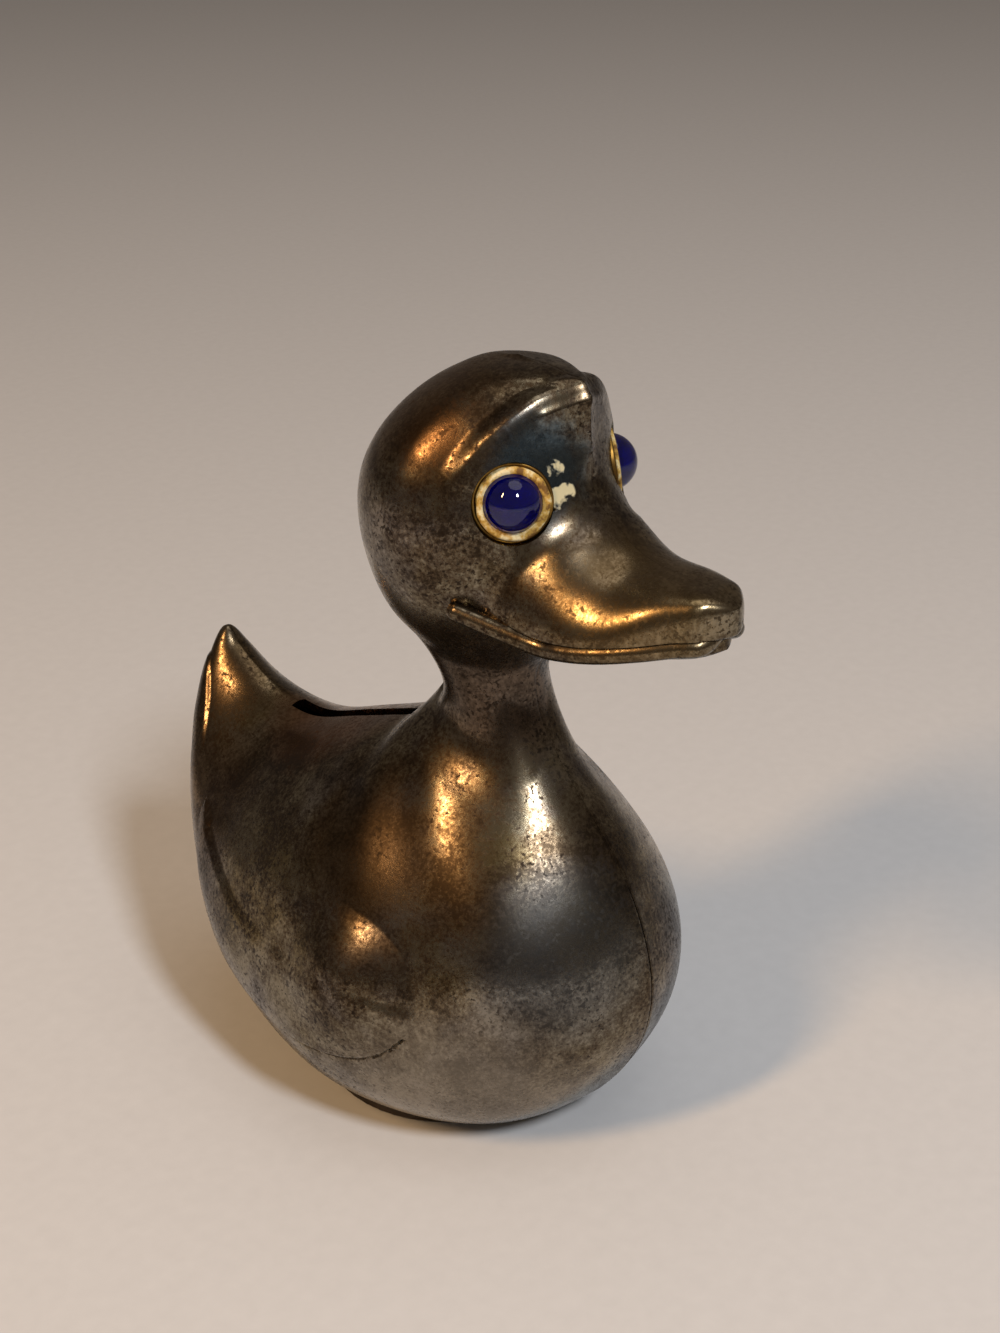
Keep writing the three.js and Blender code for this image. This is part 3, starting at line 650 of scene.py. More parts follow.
def smooth_joints(piece):
    """Smooths a skin at the bill's joint and at the neck's root, and says how many points that takes."""
    points = np.array([vertex.co for vertex in piece.data.vertices]) * 1000
    forward, height = -points[:, 1], points[:, 2]
    off_joint = np.full(len(points), np.inf)
    for i in np.where((height > JOINT_ABOVE) & (forward > JOINT_FROM) & (forward < JOINT_TO))[0]:
        spot = piece.data.vertices[i].co
        off_joint[i] = 1000 * max(duck_tree.find_nearest(spot)[3], bill_tree.find_nearest(spot)[3])
    band = 0.9 + 4.2 * smooth_step((height - 99.5) / 6)
    moved = relax(piece, points, 0.5 * smooth_step((band - off_joint) / band), JOINT_ROUNDS)
    on_right = np.column_stack([-np.abs(points[:, 0]), -points[:, 1], points[:, 2]])
    off_root = line_distance(on_right, NECK_ROOT)[0]
    moved += relax(piece, points, 0.5 * smooth_step(1.6 - 1.6 * off_root / NECK_ROOT_WIDTH), NECK_ROUNDS)
    piece.data.vertices.foreach_set("co", (points / 1000).ravel())
    piece.data.update()
    return moved


print("points smoothed at the bill's and the neck's root:", smooth_joints(shell))

# %% [markdown]
# The eye sockets and the trap's well are round, and so are the cups, the cement and the glass. Each is turned
# as on a lathe, from a profile that starts and ends on its axis.

# %% Lathe
def lathe(name, profile, columns, centre, axis=(0, 0, 1)):
    """A solid turned from a profile of (radius, height), about an axis through a centre, both given as
    (x, forward, up)."""
    turn = np.array(Vector((0, 0, 1)).rotation_difference(Vector(axis).normalized()).to_matrix())
    points, faces, rings = [], [], []
    for radius, height in profile:
        if radius < 1e-9:
            rings.append([len(points)])
            points.append((0, 0, height))
            continue
        rings.append(list(range(len(points), len(points) + columns)))
        for i in range(columns):
            angle = 2 * math.pi * i / columns
            points.append((radius * math.cos(angle), radius * math.sin(angle), height))
    for lower, upper in zip(rings, rings[1:]):
        for i in range(columns):
            j = (i + 1) % columns
            near, far = lower[i % len(lower)], lower[j % len(lower)]
            loop = list(dict.fromkeys([near, far, upper[j % len(upper)], upper[i % len(upper)]]))
            if len(loop) > 2:
                faces.append(loop)
    return mesh_object(name, np.array(points) @ turn.T + np.array(centre), faces)


def plug_profile(radius, low, high):
    """The profile of a plain round plug, for cutting a round hole."""
    return [(0, low), (radius, low), (radius, high), (0, high)]


print("a plug's profile has", len(plug_profile(1, 0, 1)), "points")

# %% [markdown]
# The slot, the sockets and the well have the CAD's own sizes, so the finer shells keep the places of the
# pieces that stand in them. The head's wall is left thicker inside, where the brow's hollow side is pressed
# in from outside.

# %% Hollow, slot, sockets and well
SEAT_HEIGHT = 1.8
FLOOR_THICKNESS = 1.5
SLOT_WIDTH = 3.2
SLOT_REAR = -33.5
SLOT_FRONT = -5.0
EYE_CENTRE = np.array([11.0, 22.2, 108.1])
EYE_AZIMUTH = math.radians(45)
EYE_ELEVATION = math.radians(8)
CUP_RADIUS = 5.8
CUP_DEPTH = 5.6
BASE_FORWARD = -0.8
COLLAR_RADIUS = 18.7
SOCKET_RADIUS = CUP_RADIUS + 0.04  # the solder fills what the CAD leaves as clearance
HEAD_SECTION = 15  # the first of the sections of the head
HEAD_EXTRA = 1.3  # how much thicker the head's wall is
SEAM_GAP = 0.02
FAR = 80.0  # farther out than any part of the duck


def eye_axis(side):
    """The way the right eye (-1) or the left one (1) looks, as (x, forward, up)."""
    return (
        side * math.sin(EYE_AZIMUTH) * math.cos(EYE_ELEVATION),
        math.cos(EYE_AZIMUTH) * math.cos(EYE_ELEVATION),
        math.sin(EYE_ELEVATION),
    )


def eye_centre(side):
    return EYE_CENTRE * np.array([side, 1, 1])


hollow_depth = WALL + HEAD_EXTRA * smooth_step((np.arange(len(DUCK_SECTIONS)) - HEAD_SECTION) / 2)
hollow = plain_loft("hollow", duck_rows(hollow_depth), 3, 40)
combine(hollow, plain_loft("bill_hollow", bill_rows(WALL), 3, 32), "UNION")
floor_top, well_top = SEAT_HEIGHT + FLOOR_THICKNESS, SEAT_HEIGHT + 2 * FLOOR_THICKNESS
combine(hollow, box_object("floor_cut", (-FAR, -FAR, -FAR), (FAR, FAR, floor_top)))
seat_cut = box_object("seat_cut", (-FAR, -FAR, -FAR), (FAR, FAR, SEAT_HEIGHT))
slot_cut = box_object("slot_cut", (-SLOT_WIDTH / 2, SLOT_REAR, 50), (SLOT_WIDTH / 2, SLOT_FRONT, 72))
socket_profile = plug_profile(SOCKET_RADIUS, -CUP_DEPTH - GAP, CUP_RADIUS)
socket = lathe("socket", socket_profile, 96, eye_centre(-1), eye_axis(-1))
well = lathe("well", plug_profile(COLLAR_RADIUS + GAP, 0, well_top), 96, (0, BASE_FORWARD, 0))
for cutter in (hollow, seat_cut, slot_cut, socket, well):
    combine(shell, cutter)
right_side = box_object("right_side", (-FAR, -FAR, -FAR), (-SEAM_GAP, FAR, 2 * FAR))
right_shell = combine(shell, right_side, "INTERSECT")
print("faces in the right half:", len(right_shell.data.polygons))

# %% [markdown]
# Cutting leaves a few slivers. They're merged away, the mesh is made triangles, and sharp edges are kept
# only where two faces meet at a real corner. The left half is the right one mirrored, and its faces are
# turned round so that they still point outwards.

# %% Two finished halves
CORNER_ANGLE = math.radians(38)
SHELL_MERGE = 0.00004  # metres, as all mesh work in Blender is


def tidy_cuts(piece, merge):
    """Merges the slivers that cutting leaves, and makes all faces triangles."""
    work = bmesh.new()
    work.from_mesh(piece.data)
    bmesh.ops.remove_doubles(work, verts=work.verts, dist=merge)
    bmesh.ops.dissolve_degenerate(work, edges=work.edges, dist=merge / 2)
    bmesh.ops.triangulate(work, faces=work.faces)
    work.to_mesh(piece.data)
    work.free()


def smooth_shading(piece, corner=CORNER_ANGLE):
    """Shades a piece smoothly, apart from its real corners."""
    piece.data.polygons.foreach_set("use_smooth", [True] * len(piece.data.polygons))
    piece.data.set_sharp_from_angle(angle=corner)


def mirrored(piece, name):
    """A copy of a piece on the duck's other side, with its faces turned round."""
    mesh = piece.data.copy()
    mesh.transform(Matrix.Scale(-1, 4, (1, 0, 0)))
    mesh.flip_normals()
    mesh.name = name
    return placed(name, mesh)


tidy_cuts(right_shell, SHELL_MERGE)
right_shell.name = "right_shell"
left_shell = mirrored(right_shell, "left_shell")
for shell_half in (right_shell, left_shell):
    smooth_shading(shell_half)
print("triangles in each half:", len(right_shell.data.polygons))

# %% [markdown]
# ## The lower bill and its lip
# Under the upper bill lies a thin plate, set back a little, and a rounded lip runs round its edge from one
# corner of the mouth to the other. The plate is lofted as in the CAD, and what the head and the upper bill
# would run into is cut from it.

# %% Lower bill
LOWER_THICKNESS = 2.6
LOWER_SET_BACK = 1.6
LOWER_INSET = 0.6
LOWER_WIDEST, LOWER_ROUND = 0.4, 3  # where its sections are widest, and how square they are
LOWER_MERGE = 0.00003


def lower_bill_rows():
    """The plate's sections, set back from those of the upper bill."""
    forward, _, rim, half, _ = BILL_ROWS.T
    back, top = forward - LOWER_SET_BACK, rim - RIM_THICKNESS - GAP
    shape = np.tile([LOWER_WIDEST, LOWER_ROUND, LOWER_ROUND], (len(forward), 1))
    width = np.maximum(half - LOWER_INSET, 0)
    return np.column_stack([back, top, back, top - LOWER_THICKNESS, width, shape])


def keep_largest(piece):
    """Removes every loose part but the one with the most faces."""
    work = bmesh.new()
    work.from_mesh(piece.data)
    left = set(work.faces)
    parts = []
    while left:
        part, edge = set(), [next(iter(left))]
        while edge:
            face = edge.pop()
            if face in part:
                continue
            part.add(face)
            edge.extend(other for e in face.edges for other in e.link_faces if other not in part)
        left -= part
        parts.append(part)
    parts.sort(key=len)
    for part in parts[:-1]:
        bmesh.ops.delete(work, geom=list(part), context="FACES")
    work.to_mesh(piece.data)
    work.free()
    return len(parts)


lower_bill = plain_loft("lower_bill_plate", lower_bill_rows(), 10, 64)
for name, rows in (("head_core", duck_rows(-GAP)), ("bill_core", bill_rows(-GAP))):
    combine(lower_bill, plain_loft(name, rows, 6, 64))
parts_found = keep_largest(lower_bill)
tidy_cuts(lower_bill, LOWER_MERGE)
smooth_shading(lower_bill)
print("lower bill: kept the largest of", parts_found, "parts")

# %% [markdown]
# The lip's path starts at the corner of the mouth, low on the cheek, and follows the bill's edge to its tip.

# %% Lip's path
LIP_RADIUS = 1.45
LIP_INSET = 0.8
LIP_DROP = 1.5
MOUTH_CORNER = (-17.6, 16.2, 92.6)


def lip_path():
    """Points of the lip's middle line, from the right corner of the mouth round to the left one."""
    forward, _, rim, half, _ = BILL_ROWS[2:-1].T
    right = np.column_stack([LIP_INSET - half, forward - LIP_INSET, rim - LIP_DROP])
    right = np.vstack([MOUTH_CORNER, right])
    tip = [0, BILL_ROWS[-1, 0] - LOWER_SET_BACK - LIP_RADIUS, BILL_ROWS[-1, 2] - LIP_DROP]
    return np.vstack([right, tip, right[::-1] * [-1, 1, 1]])


print("points on the lip's path:", len(lip_path()))

# %% [markdown]
# Node trees make the lip and all the finishes. One small function adds a node with its settings and links.
# Every colour is written as it looks on a screen, and another function turns it to linear light.

# %% Nodes and colours
def colour(hex_value):
    """An sRGB hex colour as linear red, green, blue and alpha."""
    parts = [int(hex_value[i:i + 2], 16) / 255 for i in (1, 3, 5)]
    return [c / 12.92 if c <= 0.04045 else ((c + 0.055) / 1.055) ** 2.4 for c in parts] + [1.0]


def feed(node, inputs):
    """Sets or links a node's inputs, given by name, or in a row for those in use. A node among the values
    is linked by its first output in use."""
    if isinstance(inputs, dict):
        sockets, values = [node.inputs[key] for key in inputs], inputs.values()
    else:
        sockets, values = [socket for socket in node.inputs if socket.enabled], inputs
    for socket, value in zip(sockets, values):
        if isinstance(value, bpy.types.Node):
            value = next(output for output in value.outputs if output.enabled)
        if isinstance(value, bpy.types.NodeSocket):
            node.id_data.links.new(value, socket)
        else:
            socket.default_value = colour(value) if isinstance(value, str) else value


def tree_node(tree, kind, inputs=(), stops=(), **settings):
    """Adds a node to a tree, with its settings and inputs, and the stops of a colour ramp."""
    node = tree.nodes.new(kind)
    for key, value in settings.items():
        setattr(node, key, value)
    feed(node, inputs)
    if stops:
        ramp = node.color_ramp.elements
        for stop, (position, tint) in zip(ramp, (stops[0], stops[-1])):
            stop.position, stop.color = position, colour(tint)
        for position, tint in stops[1:-1]:
            ramp.new(position).color = colour(tint)
    return node


print("middle grey is", round(colour("#808080")[0], 3))

# %% [markdown]
# The lip is a rounded strip that follows the mouth, as a bent and soldered wire would. So Geometry Nodes
# sweep a small circle along the path, a little thinner at both ends.

# %% Sweep the lip with Geometry Nodes
LIP_POINTS = 260
LIP_COLUMNS = 20
LIP_END = 0.488  # how far from its middle the lip starts to get thinner, as a share of its length
LIP_END_SHARE = 0.75  # how thick its ends still are
RANGE, MATH = "ShaderNodeMapRange", "ShaderNodeMath"


def sweep_tree():
    """A node tree that sweeps a circle along a path of points, thinner at both ends."""
    tree = bpy.data.node_groups.new("sweep_round_lip", "GeometryNodeTree")
    tree.interface.new_socket("Path", in_out="INPUT", socket_type="NodeSocketGeometry")
    radius_input = tree.interface.new_socket("Radius", in_out="INPUT", socket_type="NodeSocketFloat")
    radius_input.default_value = LIP_RADIUS / 1000
    tree.interface.new_socket("Finish", in_out="INPUT", socket_type="NodeSocketMaterial")
    tree.interface.new_socket("Lip", in_out="OUTPUT", socket_type="NodeSocketGeometry")
    add = partial(tree_node, tree)
    start = add("NodeGroupInput")
    curve = add("GeometryNodeMeshToCurve", [start.outputs["Path"]])
    spline = add("GeometryNodeCurveSplineType", [curve], spline_type="CATMULL_ROM")
    fine = add("GeometryNodeResampleCurve", {"Curve": spline, "Count": LIP_POINTS})
    along = add("GeometryNodeSplineParameter")
    from_end = add(MATH, [along, 0.5], operation="SUBTRACT")
    off_middle = add(MATH, [from_end], operation="ABSOLUTE")
    shrink = add(RANGE, [off_middle, 0.5, LIP_END, LIP_END_SHARE, 1.0], interpolation_type="SMOOTHSTEP")
    radius = add(MATH, [shrink, start.outputs["Radius"]], operation="MULTIPLY")
    ring = add("GeometryNodeCurvePrimitiveCircle", [LIP_COLUMNS, 1.0])
    tube = add("GeometryNodeCurveToMesh", [fine, ring, radius, True])
    whole = add("GeometryNodeRealizeInstances", [tube])
    finished = add("GeometryNodeSetMaterial", {"Geometry": whole, "Material": start.outputs["Finish"]})
    add("NodeGroupOutput", {"Lip": finished})
    return tree


lip_tree = sweep_tree()
print("nodes in the tree that sweeps the lip:", len(lip_tree.nodes))

# %% [markdown]
# The tree runs as a modifier on the bare path. What it makes is kept as a plain mesh, so that it can be cut
# like the other pieces.

# %% Run a node tree on a path
def grow(tree, points, edges, name, finish):
    """Runs a node tree on a path of points and keeps the result as a plain mesh."""
    seed = bpy.data.meshes.new(name + "_path")
    seed.from_pydata(metres(points).tolist(), edges, [])
    holder = placed(name, seed)
    modifier = holder.modifiers.new("grow", "NODES")
    modifier.node_group = tree
    for item in tree.interface.items_tree:
        if item.item_type == "SOCKET" and item.in_out == "INPUT" and item.socket_type == "NodeSocketMaterial":
            modifier[item.identifier] = finish
    bpy.context.view_layer.update()
    evaluated = holder.evaluated_get(bpy.context.evaluated_depsgraph_get())
    mesh = bpy.data.meshes.new_from_object(evaluated)
    holder.modifiers.remove(modifier)
    holder.data = mesh
    bpy.data.meshes.remove(seed)
    return holder


print("the path that it runs on is closed:", bool(np.allclose(lip_path()[0], lip_path()[-1])))

# %% [markdown]
# ## Finishes
# Each finish starts from the shader that Blender gives a new material, and its patterns are placed by Object
# coordinates, so that they move with the piece. The size of a pattern is written in millimetres. The inputs
# of a noise are its coordinates, scale, detail, roughness, lacunarity and distortion, and those of a range
# are a value, the range it comes from and the range it's turned to.

# %% What every finish starts from
NOISE, RAMP, MIX, BUMP = "ShaderNodeTexNoise", "ShaderNodeValToRGB", "ShaderNodeMix", "ShaderNodeBump"
LACUNARITY = 2.0  # how much finer each further layer of a noise is


def pattern_scale(size_mm):
    """The noise scale that gives features of about this size, for coordinates in metres."""
    return 1000.0 / size_mm


def new_finish(name):
    """A new material, what adds a node to it, its shader, and the coordinates for its patterns."""
    finish = bpy.data.materials.new(name)
    finish.use_nodes = True
    add = partial(tree_node, finish.node_tree)
    place = add("ShaderNodeTexCoord").outputs["Object"]
    return finish, add, finish.node_tree.nodes["Principled BSDF"], place


print("noise scale for grains of 0.6 mm:", round(pattern_scale(0.6)))

# %% [markdown]
# The shells are silver plate that has stood for years. Sulphur in the air turns silver yellow, brown and at
# last almost black, in clouds and in fine specks, while the bare metal between them stays a bright mirror. So
# the colour goes from near black through brown to silver in three sizes of cloud, and where the tarnish is
# thick the surface is duller. Broad tints follow how it has gathered on this duck: brown on the crown and the
# back, and nearly black at the neck. Other broad tints are painted light: a painted dark blue-grey reflection
# on the flat of the face by the right eye, a painted pale reflection of the floor on the belly, and painted
# shade that dims the lamps' reflections on the side of the crown, the flank above the wing and the tail. A
# little setting cement is smeared on the metal beside the right eye.

# %% Clouds, tints and the smear
TINTS_AND_PAINTED_LIGHT = [  # where (x, forward, up), how wide in millimetres, the tint and its strength
    # painted dark blue-grey reflection: the flat of the face mirrors the dim surroundings
    ((-8.5, 25.5, 113.0), 8.5, "#39464e", 0.75),  # the flat of the face by the right eye
    ((-5.0, 40.0, 97.0), 15.0, "#8b7552", 0.45),  # the bill
    ((-4.0, 2.0, 116.0), 18.0, "#806140", 0.5),  # the crown
    ((0.0, -22.0, 60.0), 17.0, "#8f6646", 0.6),  # the back, along the slot
    ((-3.0, 14.0, 75.0), 13.0, "#2c251f", 0.9),  # the neck
    ((-14.0, 36.0, 40.0), 17.0, "#5b5c5c", 0.55),  # the chest
    # painted pale reflection of the floor on the belly and the wing's front
    ((-20.0, 20.0, 13.0), 23.0, "#a59b8c", 0.6),  # the belly and the wing's front
    ((-16.0, -40.0, 42.0), 16.0, "#3d2e20", 0.45),  # the rump
    # painted shade that dims the warm lamp's reflection on the flank above the wing
    ((-22.0, 3.0, 50.0), 12.0, "#2e251b", 0.75),  # the flank above the wing
    # painted shade that dims the warm lamp's reflection on the side of the crown
    ((-16.3, 12.0, 117.0), 6.5, "#3f2e1e", 0.7),  # the side of the crown
    # painted shade that dims the broad reflection on the tail's tip
    ((-4.0, -46.0, 57.0), 10.0, "#2e251b", 0.65),  # the tail
]
SILVER_STOPS = [(0.0, "#887f6d"), (0.3, "#6d6453"), (0.62, "#55493a"), (1.0, "#332a20")]
SPECK_TINT = "#2a221c"
CEMENT_SMEAR = [((-6.3, 26.1, 112.0), 2.0), ((-6.0, 27.0, 108.9), 2.6)]  # where, and how wide
SMEAR_TINT = "#bdb592"
SILVER_NOISES = [  # size of the features in millimetres, detail, roughness, distortion
    (26, 6.0, 0.6, 0.3),  # wide clouds of tarnish
    (5.0, 9.0, 0.78, 0.4),  # patches in them
    (0.6, 3.0, 0.7, 0.0),  # grains in the patches
    (17, 3.0, 0.6, 0.0),  # how the hue drifts
    (0.75, 2.0, 0.6, 0.0),  # specks
    (11, 5.0, 0.65, 0.0),  # where the specks are dense
    (2.2, 3.0, 0.5, 0.0),  # the ragged edge of the smear
]


def away_from(add, place, spot):
    """The distance, in metres, from a spot on the duck given as (x, forward, up) in millimetres."""
    spot = metres(np.array([spot]))[0].tolist()
    return add("ShaderNodeVectorMath", [place, spot], operation="DISTANCE")


def smear_mask(add, place, ragged):
    """1 on the smear of cement beside the right eye, with a ragged edge, and 0 elsewhere."""
    mask = 0.0
    for spot, radius in CEMENT_SMEAR:
        blob = add(RANGE, [away_from(add, place, spot), radius / 1000, 0])
        mask = add(MATH, [blob, mask], operation="MAXIMUM")
    edge = add(MATH, [mask, add(RANGE, [ragged, 0.3, 0.7, -0.7, 0.7])])
    inside = [add(RANGE, [edge, 0.24, 0.5]), add(RANGE, [mask, 0.0, 0.12])]
    return add(MATH, inside, operation="MULTIPLY")


print("noises in the tarnish:", len(SILVER_NOISES), "and tinted places:", len(TINTS_AND_PAINTED_LIGHT))

# %% [markdown]
# The layers are laid on in the order in which they came: the clouds of tarnish first, with a drift of hue,
# then the specks, the tints, with the painted reflections and painted shade among them, and the smear. The
# same patches and specks that colour the metal also dull it and pit it, as corrosion does, so colour, gloss
# and relief agree.

# %% Tarnished silver plate
TINT_COVER = 0.6  # how much of a tint also lies over the metal as plain colour


def tarnished_silver_plate():
    finish, add, surface, place = new_finish("tarnished silver plate")
    wide, patches, grains, hue, specks, dense, ragged = [
        add(NOISE, [place, pattern_scale(size), detail, rough, LACUNARITY, twist])
        for size, detail, rough, twist in SILVER_NOISES
    ]
    tarnish = 0.0
    for noise, weight in ((wide, 0.9), (patches, 0.9), (grains, 0.7)):
        tarnish = add(MATH, [noise, weight, tarnish], operation="MULTIPLY_ADD")
    tarnish = add(RANGE, [tarnish, 1.08, 1.42])
    tint = add(RAMP, [tarnish], SILVER_STOPS)
    for start, end, most, drift in ((0.52, 0.66, 0.45, "#6c6a70"), (0.46, 0.34, 0.5, "#7f6d3f")):
        share = add(RANGE, [hue, start, end, 0.0, most])
        tint = add(MIX, [share, tint, drift], data_type="RGBA", blend_type="COLOR")
    dense = add(RANGE, [dense, 0.40, 0.66, -0.05, 0.12])
    spots = add(RANGE, [add(MATH, [specks, dense]), 0.60, 0.68, 0.0, 0.85])
    tint = add(MIX, [spots, tint, SPECK_TINT], data_type="RGBA")
    wander = add(RANGE, [patches, 0.3, 0.7, -0.002, 0.002])
    # some of these tints are tarnish, and the others are painted reflections and painted shade
    for spot, width, colouring, strength in TINTS_AND_PAINTED_LIGHT:
        off = add(MATH, [away_from(add, place, spot), wander])
        share = add(RANGE, [off, width / 1000, width / 2000, 0.0, strength])
        tint = add(MIX, [share, tint, colouring], data_type="RGBA", blend_type="COLOR")
        share = add(MATH, [share, TINT_COVER], operation="MULTIPLY")
        tint = add(MIX, [share, tint, colouring], data_type="RGBA")
    smear = smear_mask(add, place, ragged)
    dull = add(RANGE, [tarnish, 0.0, 1.0, 0.17, 0.34])
    dull = add(MATH, [spots, 0.22, dull], operation="MULTIPLY_ADD")
    relief = add(MATH, [patches, 0.8], operation="MULTIPLY")
    relief = add(MATH, [specks, -0.2, relief], operation="MULTIPLY_ADD")
    feed(surface, {
        "Base Color": add(MIX, [smear, tint, SMEAR_TINT], data_type="RGBA"),
        "Roughness": add(MIX, [smear, dull, 0.8]),
        "Metallic": add(RANGE, [smear, 0.0, 1.0, 1.0, 0.0]),
        "Normal": add(BUMP, {"Strength": 0.35, "Distance": 0.0001, "Height": relief}),
    })
    return finish


silver_plate = tarnished_silver_plate()
print("made", silver_plate.name)

# %% [markdown]
# The eyes are balls of cobalt glass. Cobalt colours glass so strongly that the ball looks almost black until
# light comes through it, goes to the pale cement behind, and comes back deep blue.

# %% Cobalt glass
def cobalt_glass():
    finish, add, surface, place = new_finish("cobalt glass")
    swirl = add(NOISE, [place, pattern_scale(4), 2.0, 0.6])
    tint = add(RAMP, [swirl], [(0.3, "#020590"), (0.7, "#0a12d0")])
    feed(surface, {
        "Base Color": tint, "Metallic": 0.0, "Roughness": 0.02, "IOR": 1.52, "Transmission Weight": 0.92,
    })
    return finish


cobalt = cobalt_glass()
print("made", cobalt.name)

# %% [markdown]
# A cream cement holds each ball in its brass cup. It's matt, grainy, and stained yellow and brown where
# polish and grime have gathered. The drawn brass has dulled in patches, from yellow to brown, so its gleam
# is broken.

# %% Eye cement and brass
def stained_cement():
    finish, add, surface, place = new_finish("setting cement")
    stain = add(NOISE, [place, pattern_scale(2.2), 5.0, 0.65])
    tint = add(RAMP, [stain], [(0.38, "#6b4a17"), (0.48, "#b5913f"), (0.6, "#dacfa6")])
    grain = add(NOISE, [place, pattern_scale(0.5), 3.0])
    bump = add(BUMP, {"Strength": 0.6, "Distance": 0.0002, "Height": grain})
    feed(surface, {"Base Color": tint, "Normal": bump, "Roughness": 0.75})
    return finish


def dulled_brass(name, light, dark):
    """Turned brass: fine rings from the lathe don't show, but dull patches do."""
    finish, add, surface, place = new_finish(name)
    patches = add(NOISE, [place, pattern_scale(5), 5.0, 0.6])
    tint = add(RAMP, [patches], [(0.38, dark), (0.62, light)])
    dull = add(RANGE, [patches, 0.3, 0.7, 0.5, 0.3])
    feed(surface, {"Base Color": tint, "Roughness": dull, "Metallic": 1.0})
    return finish


cement = stained_cement()
cup_brass = dulled_brass("dulled brass cup", "#b28c44", "#634923")
trap_brass = dulled_brass("dulled turned brass", "#b5975a", "#75592f")
print("made", cement.name, "and", cup_brass.name)

# %% [markdown]
# The base plate is sheet steel, darkened by age: almost black, with brown blotches and a low sheen. The
# washer behind the plug's flange is pressed fibre, which is matt and streaked.

# %% Base steel and washer fibre
def darkened_steel():
    finish, add, surface, place = new_finish("darkened sheet steel")
    rust = add(NOISE, [place, pattern_scale(6), 6.0, 0.65])
    tint = add(RAMP, [rust], [(0.35, "#241f1b"), (0.65, "#54493e")])
    feed(surface, {"Base Color": tint, "Metallic": 0.8, "Roughness": 0.5})
    return finish


def pressed_fibre():
    finish, add, surface, place = new_finish("pressed fibre")
    fibres = add(NOISE, [place, pattern_scale(0.8), 5.0, 0.7, LACUNARITY, 1.5])
    tint = add(RAMP, [fibres], [(0.0, "#4a382a"), (1.0, "#7d664f")])
    bump = add(BUMP, {"Strength": 0.4, "Distance": 0.0001, "Height": fibres})
    feed(surface, {"Base Color": tint, "Normal": bump, "Roughness": 0.85})
    return finish


base_steel = darkened_steel()
washer_fibre = pressed_fibre()
print("made", base_steel.name, "and", washer_fibre.name)

# %% [markdown]
# ## Fitting the metal pieces
# The shells and the plate stand for the CAD's coarser ones, the lip is added to them, and all ride on the
# duck. The lip is cut back where it would run into the shells.

# %% Dress the shells and the bill
LIP_CLEARANCE = 0.05
LIP_MERGE = 0.00002


def dress(piece, finish):
    piece.data.materials.clear()
    piece.data.materials.append(finish)


def fit(piece, finish, node=None):
    """Gives a piece its finish, attaches it to the duck, and hides the CAD piece that it stands for."""
    dress(piece, finish)
    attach(piece, "duck")
    if node:
        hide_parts(node)


path = lip_path()
lip = grow(lip_tree, path, [(i, i + 1) for i in range(len(path) - 1)], "bill_lip", silver_plate)
for name, rows in (("head", duck_rows(-LIP_CLEARANCE)), ("bill", bill_rows(-LIP_CLEARANCE))):
    combine(lip, plain_loft(name + "_in_the_lip", rows, 10, 96))
tidy_cuts(lip, LIP_MERGE)
smooth_shading(lip)
for piece, node in (
    (right_shell, "right_half_shell"), (left_shell, "left_half_shell"),
    (lower_bill, "lower_bill"), (lip, None),
):
    fit(piece, silver_plate, node)
print("lip's triangles:", len(lip.data.polygons))

# %% [markdown]
# ## The eyes
# Each eye is three pieces: a drawn brass cup with a rolled edge, a bead of cement pressed up round the glass
# by hand, and the ball itself. A bead that was exactly round would look cast, so a few waves of different
# length move its edge in and out.

# %% The uneven bead of cement
CUP_LIP = 0.6
CEMENT_BEAD = [  # how far out from the cup's inside, and how far over its edge
    (0.0, -0.25), (0.06, 0.06), (0.14, 0.2), (0.08, 0.38), (-0.2, 0.54), (-0.6, 0.6),
]
BEAD_UNEVEN = 0.24
BEAD_WAVES = [  # how many on the way round, where each starts, and its height
    (1, 0.7 + math.pi / 2, 1.0), (3, 0.0, 0.5), (5, 2.0, 0.4), (9, 1.0, 0.4),
]


def press_unevenly(bed, centre, axis, start, side):
    """Moves the cement's edge in and out on its way round, and most outwards towards the bill."""
    middle, axis = Vector(metres(np.array([centre]))[0]), Vector((axis[0], -axis[1], axis[2]))
    for vertex in bed.data.vertices:
        off = vertex.co - middle
        height = off.dot(axis)
        spoke = off - axis * height
        if spoke.length * 1000 > start - 0.3 and height * 1000 > CUP_LIP + 0.03:
            turn = math.atan2(spoke.z, -side * spoke.x)
            wave = sum(high * math.sin(rounds * turn + begin) for rounds, begin, high in BEAD_WAVES)
            vertex.co += spoke.normalized() * BEAD_UNEVEN * wave / 2000


print("waves on the bead's way round:", [rounds for rounds, _, _ in BEAD_WAVES])

# %% [markdown]
# Cup, cement and glass are all turned about the line on which the eye looks out. The cement's profile ends in
# the hollow that the ball sits in, so the glass shows its bed through itself, as the real one does.

# %% Cup, cement and glass
GLASS_RADIUS = 4.25
CUP_WALL = 0.6
CEMENT_LIP = 1.0
EYE_CLEARANCE = 0.04  # between glass and cement
CEMENT_CLEARANCE = 0.05  # between cement and cup
EYE_CORNER_ANGLE = math.radians(50)


def arc(radius, start, end, steps):
    """Profile points on an arc about the eye's centre, by angles from the pole in degrees."""
    turns = np.radians(np.linspace(start, end, steps + 1))
    return [(max(radius * math.sin(t), 0), radius * math.cos(t)) for t in turns]


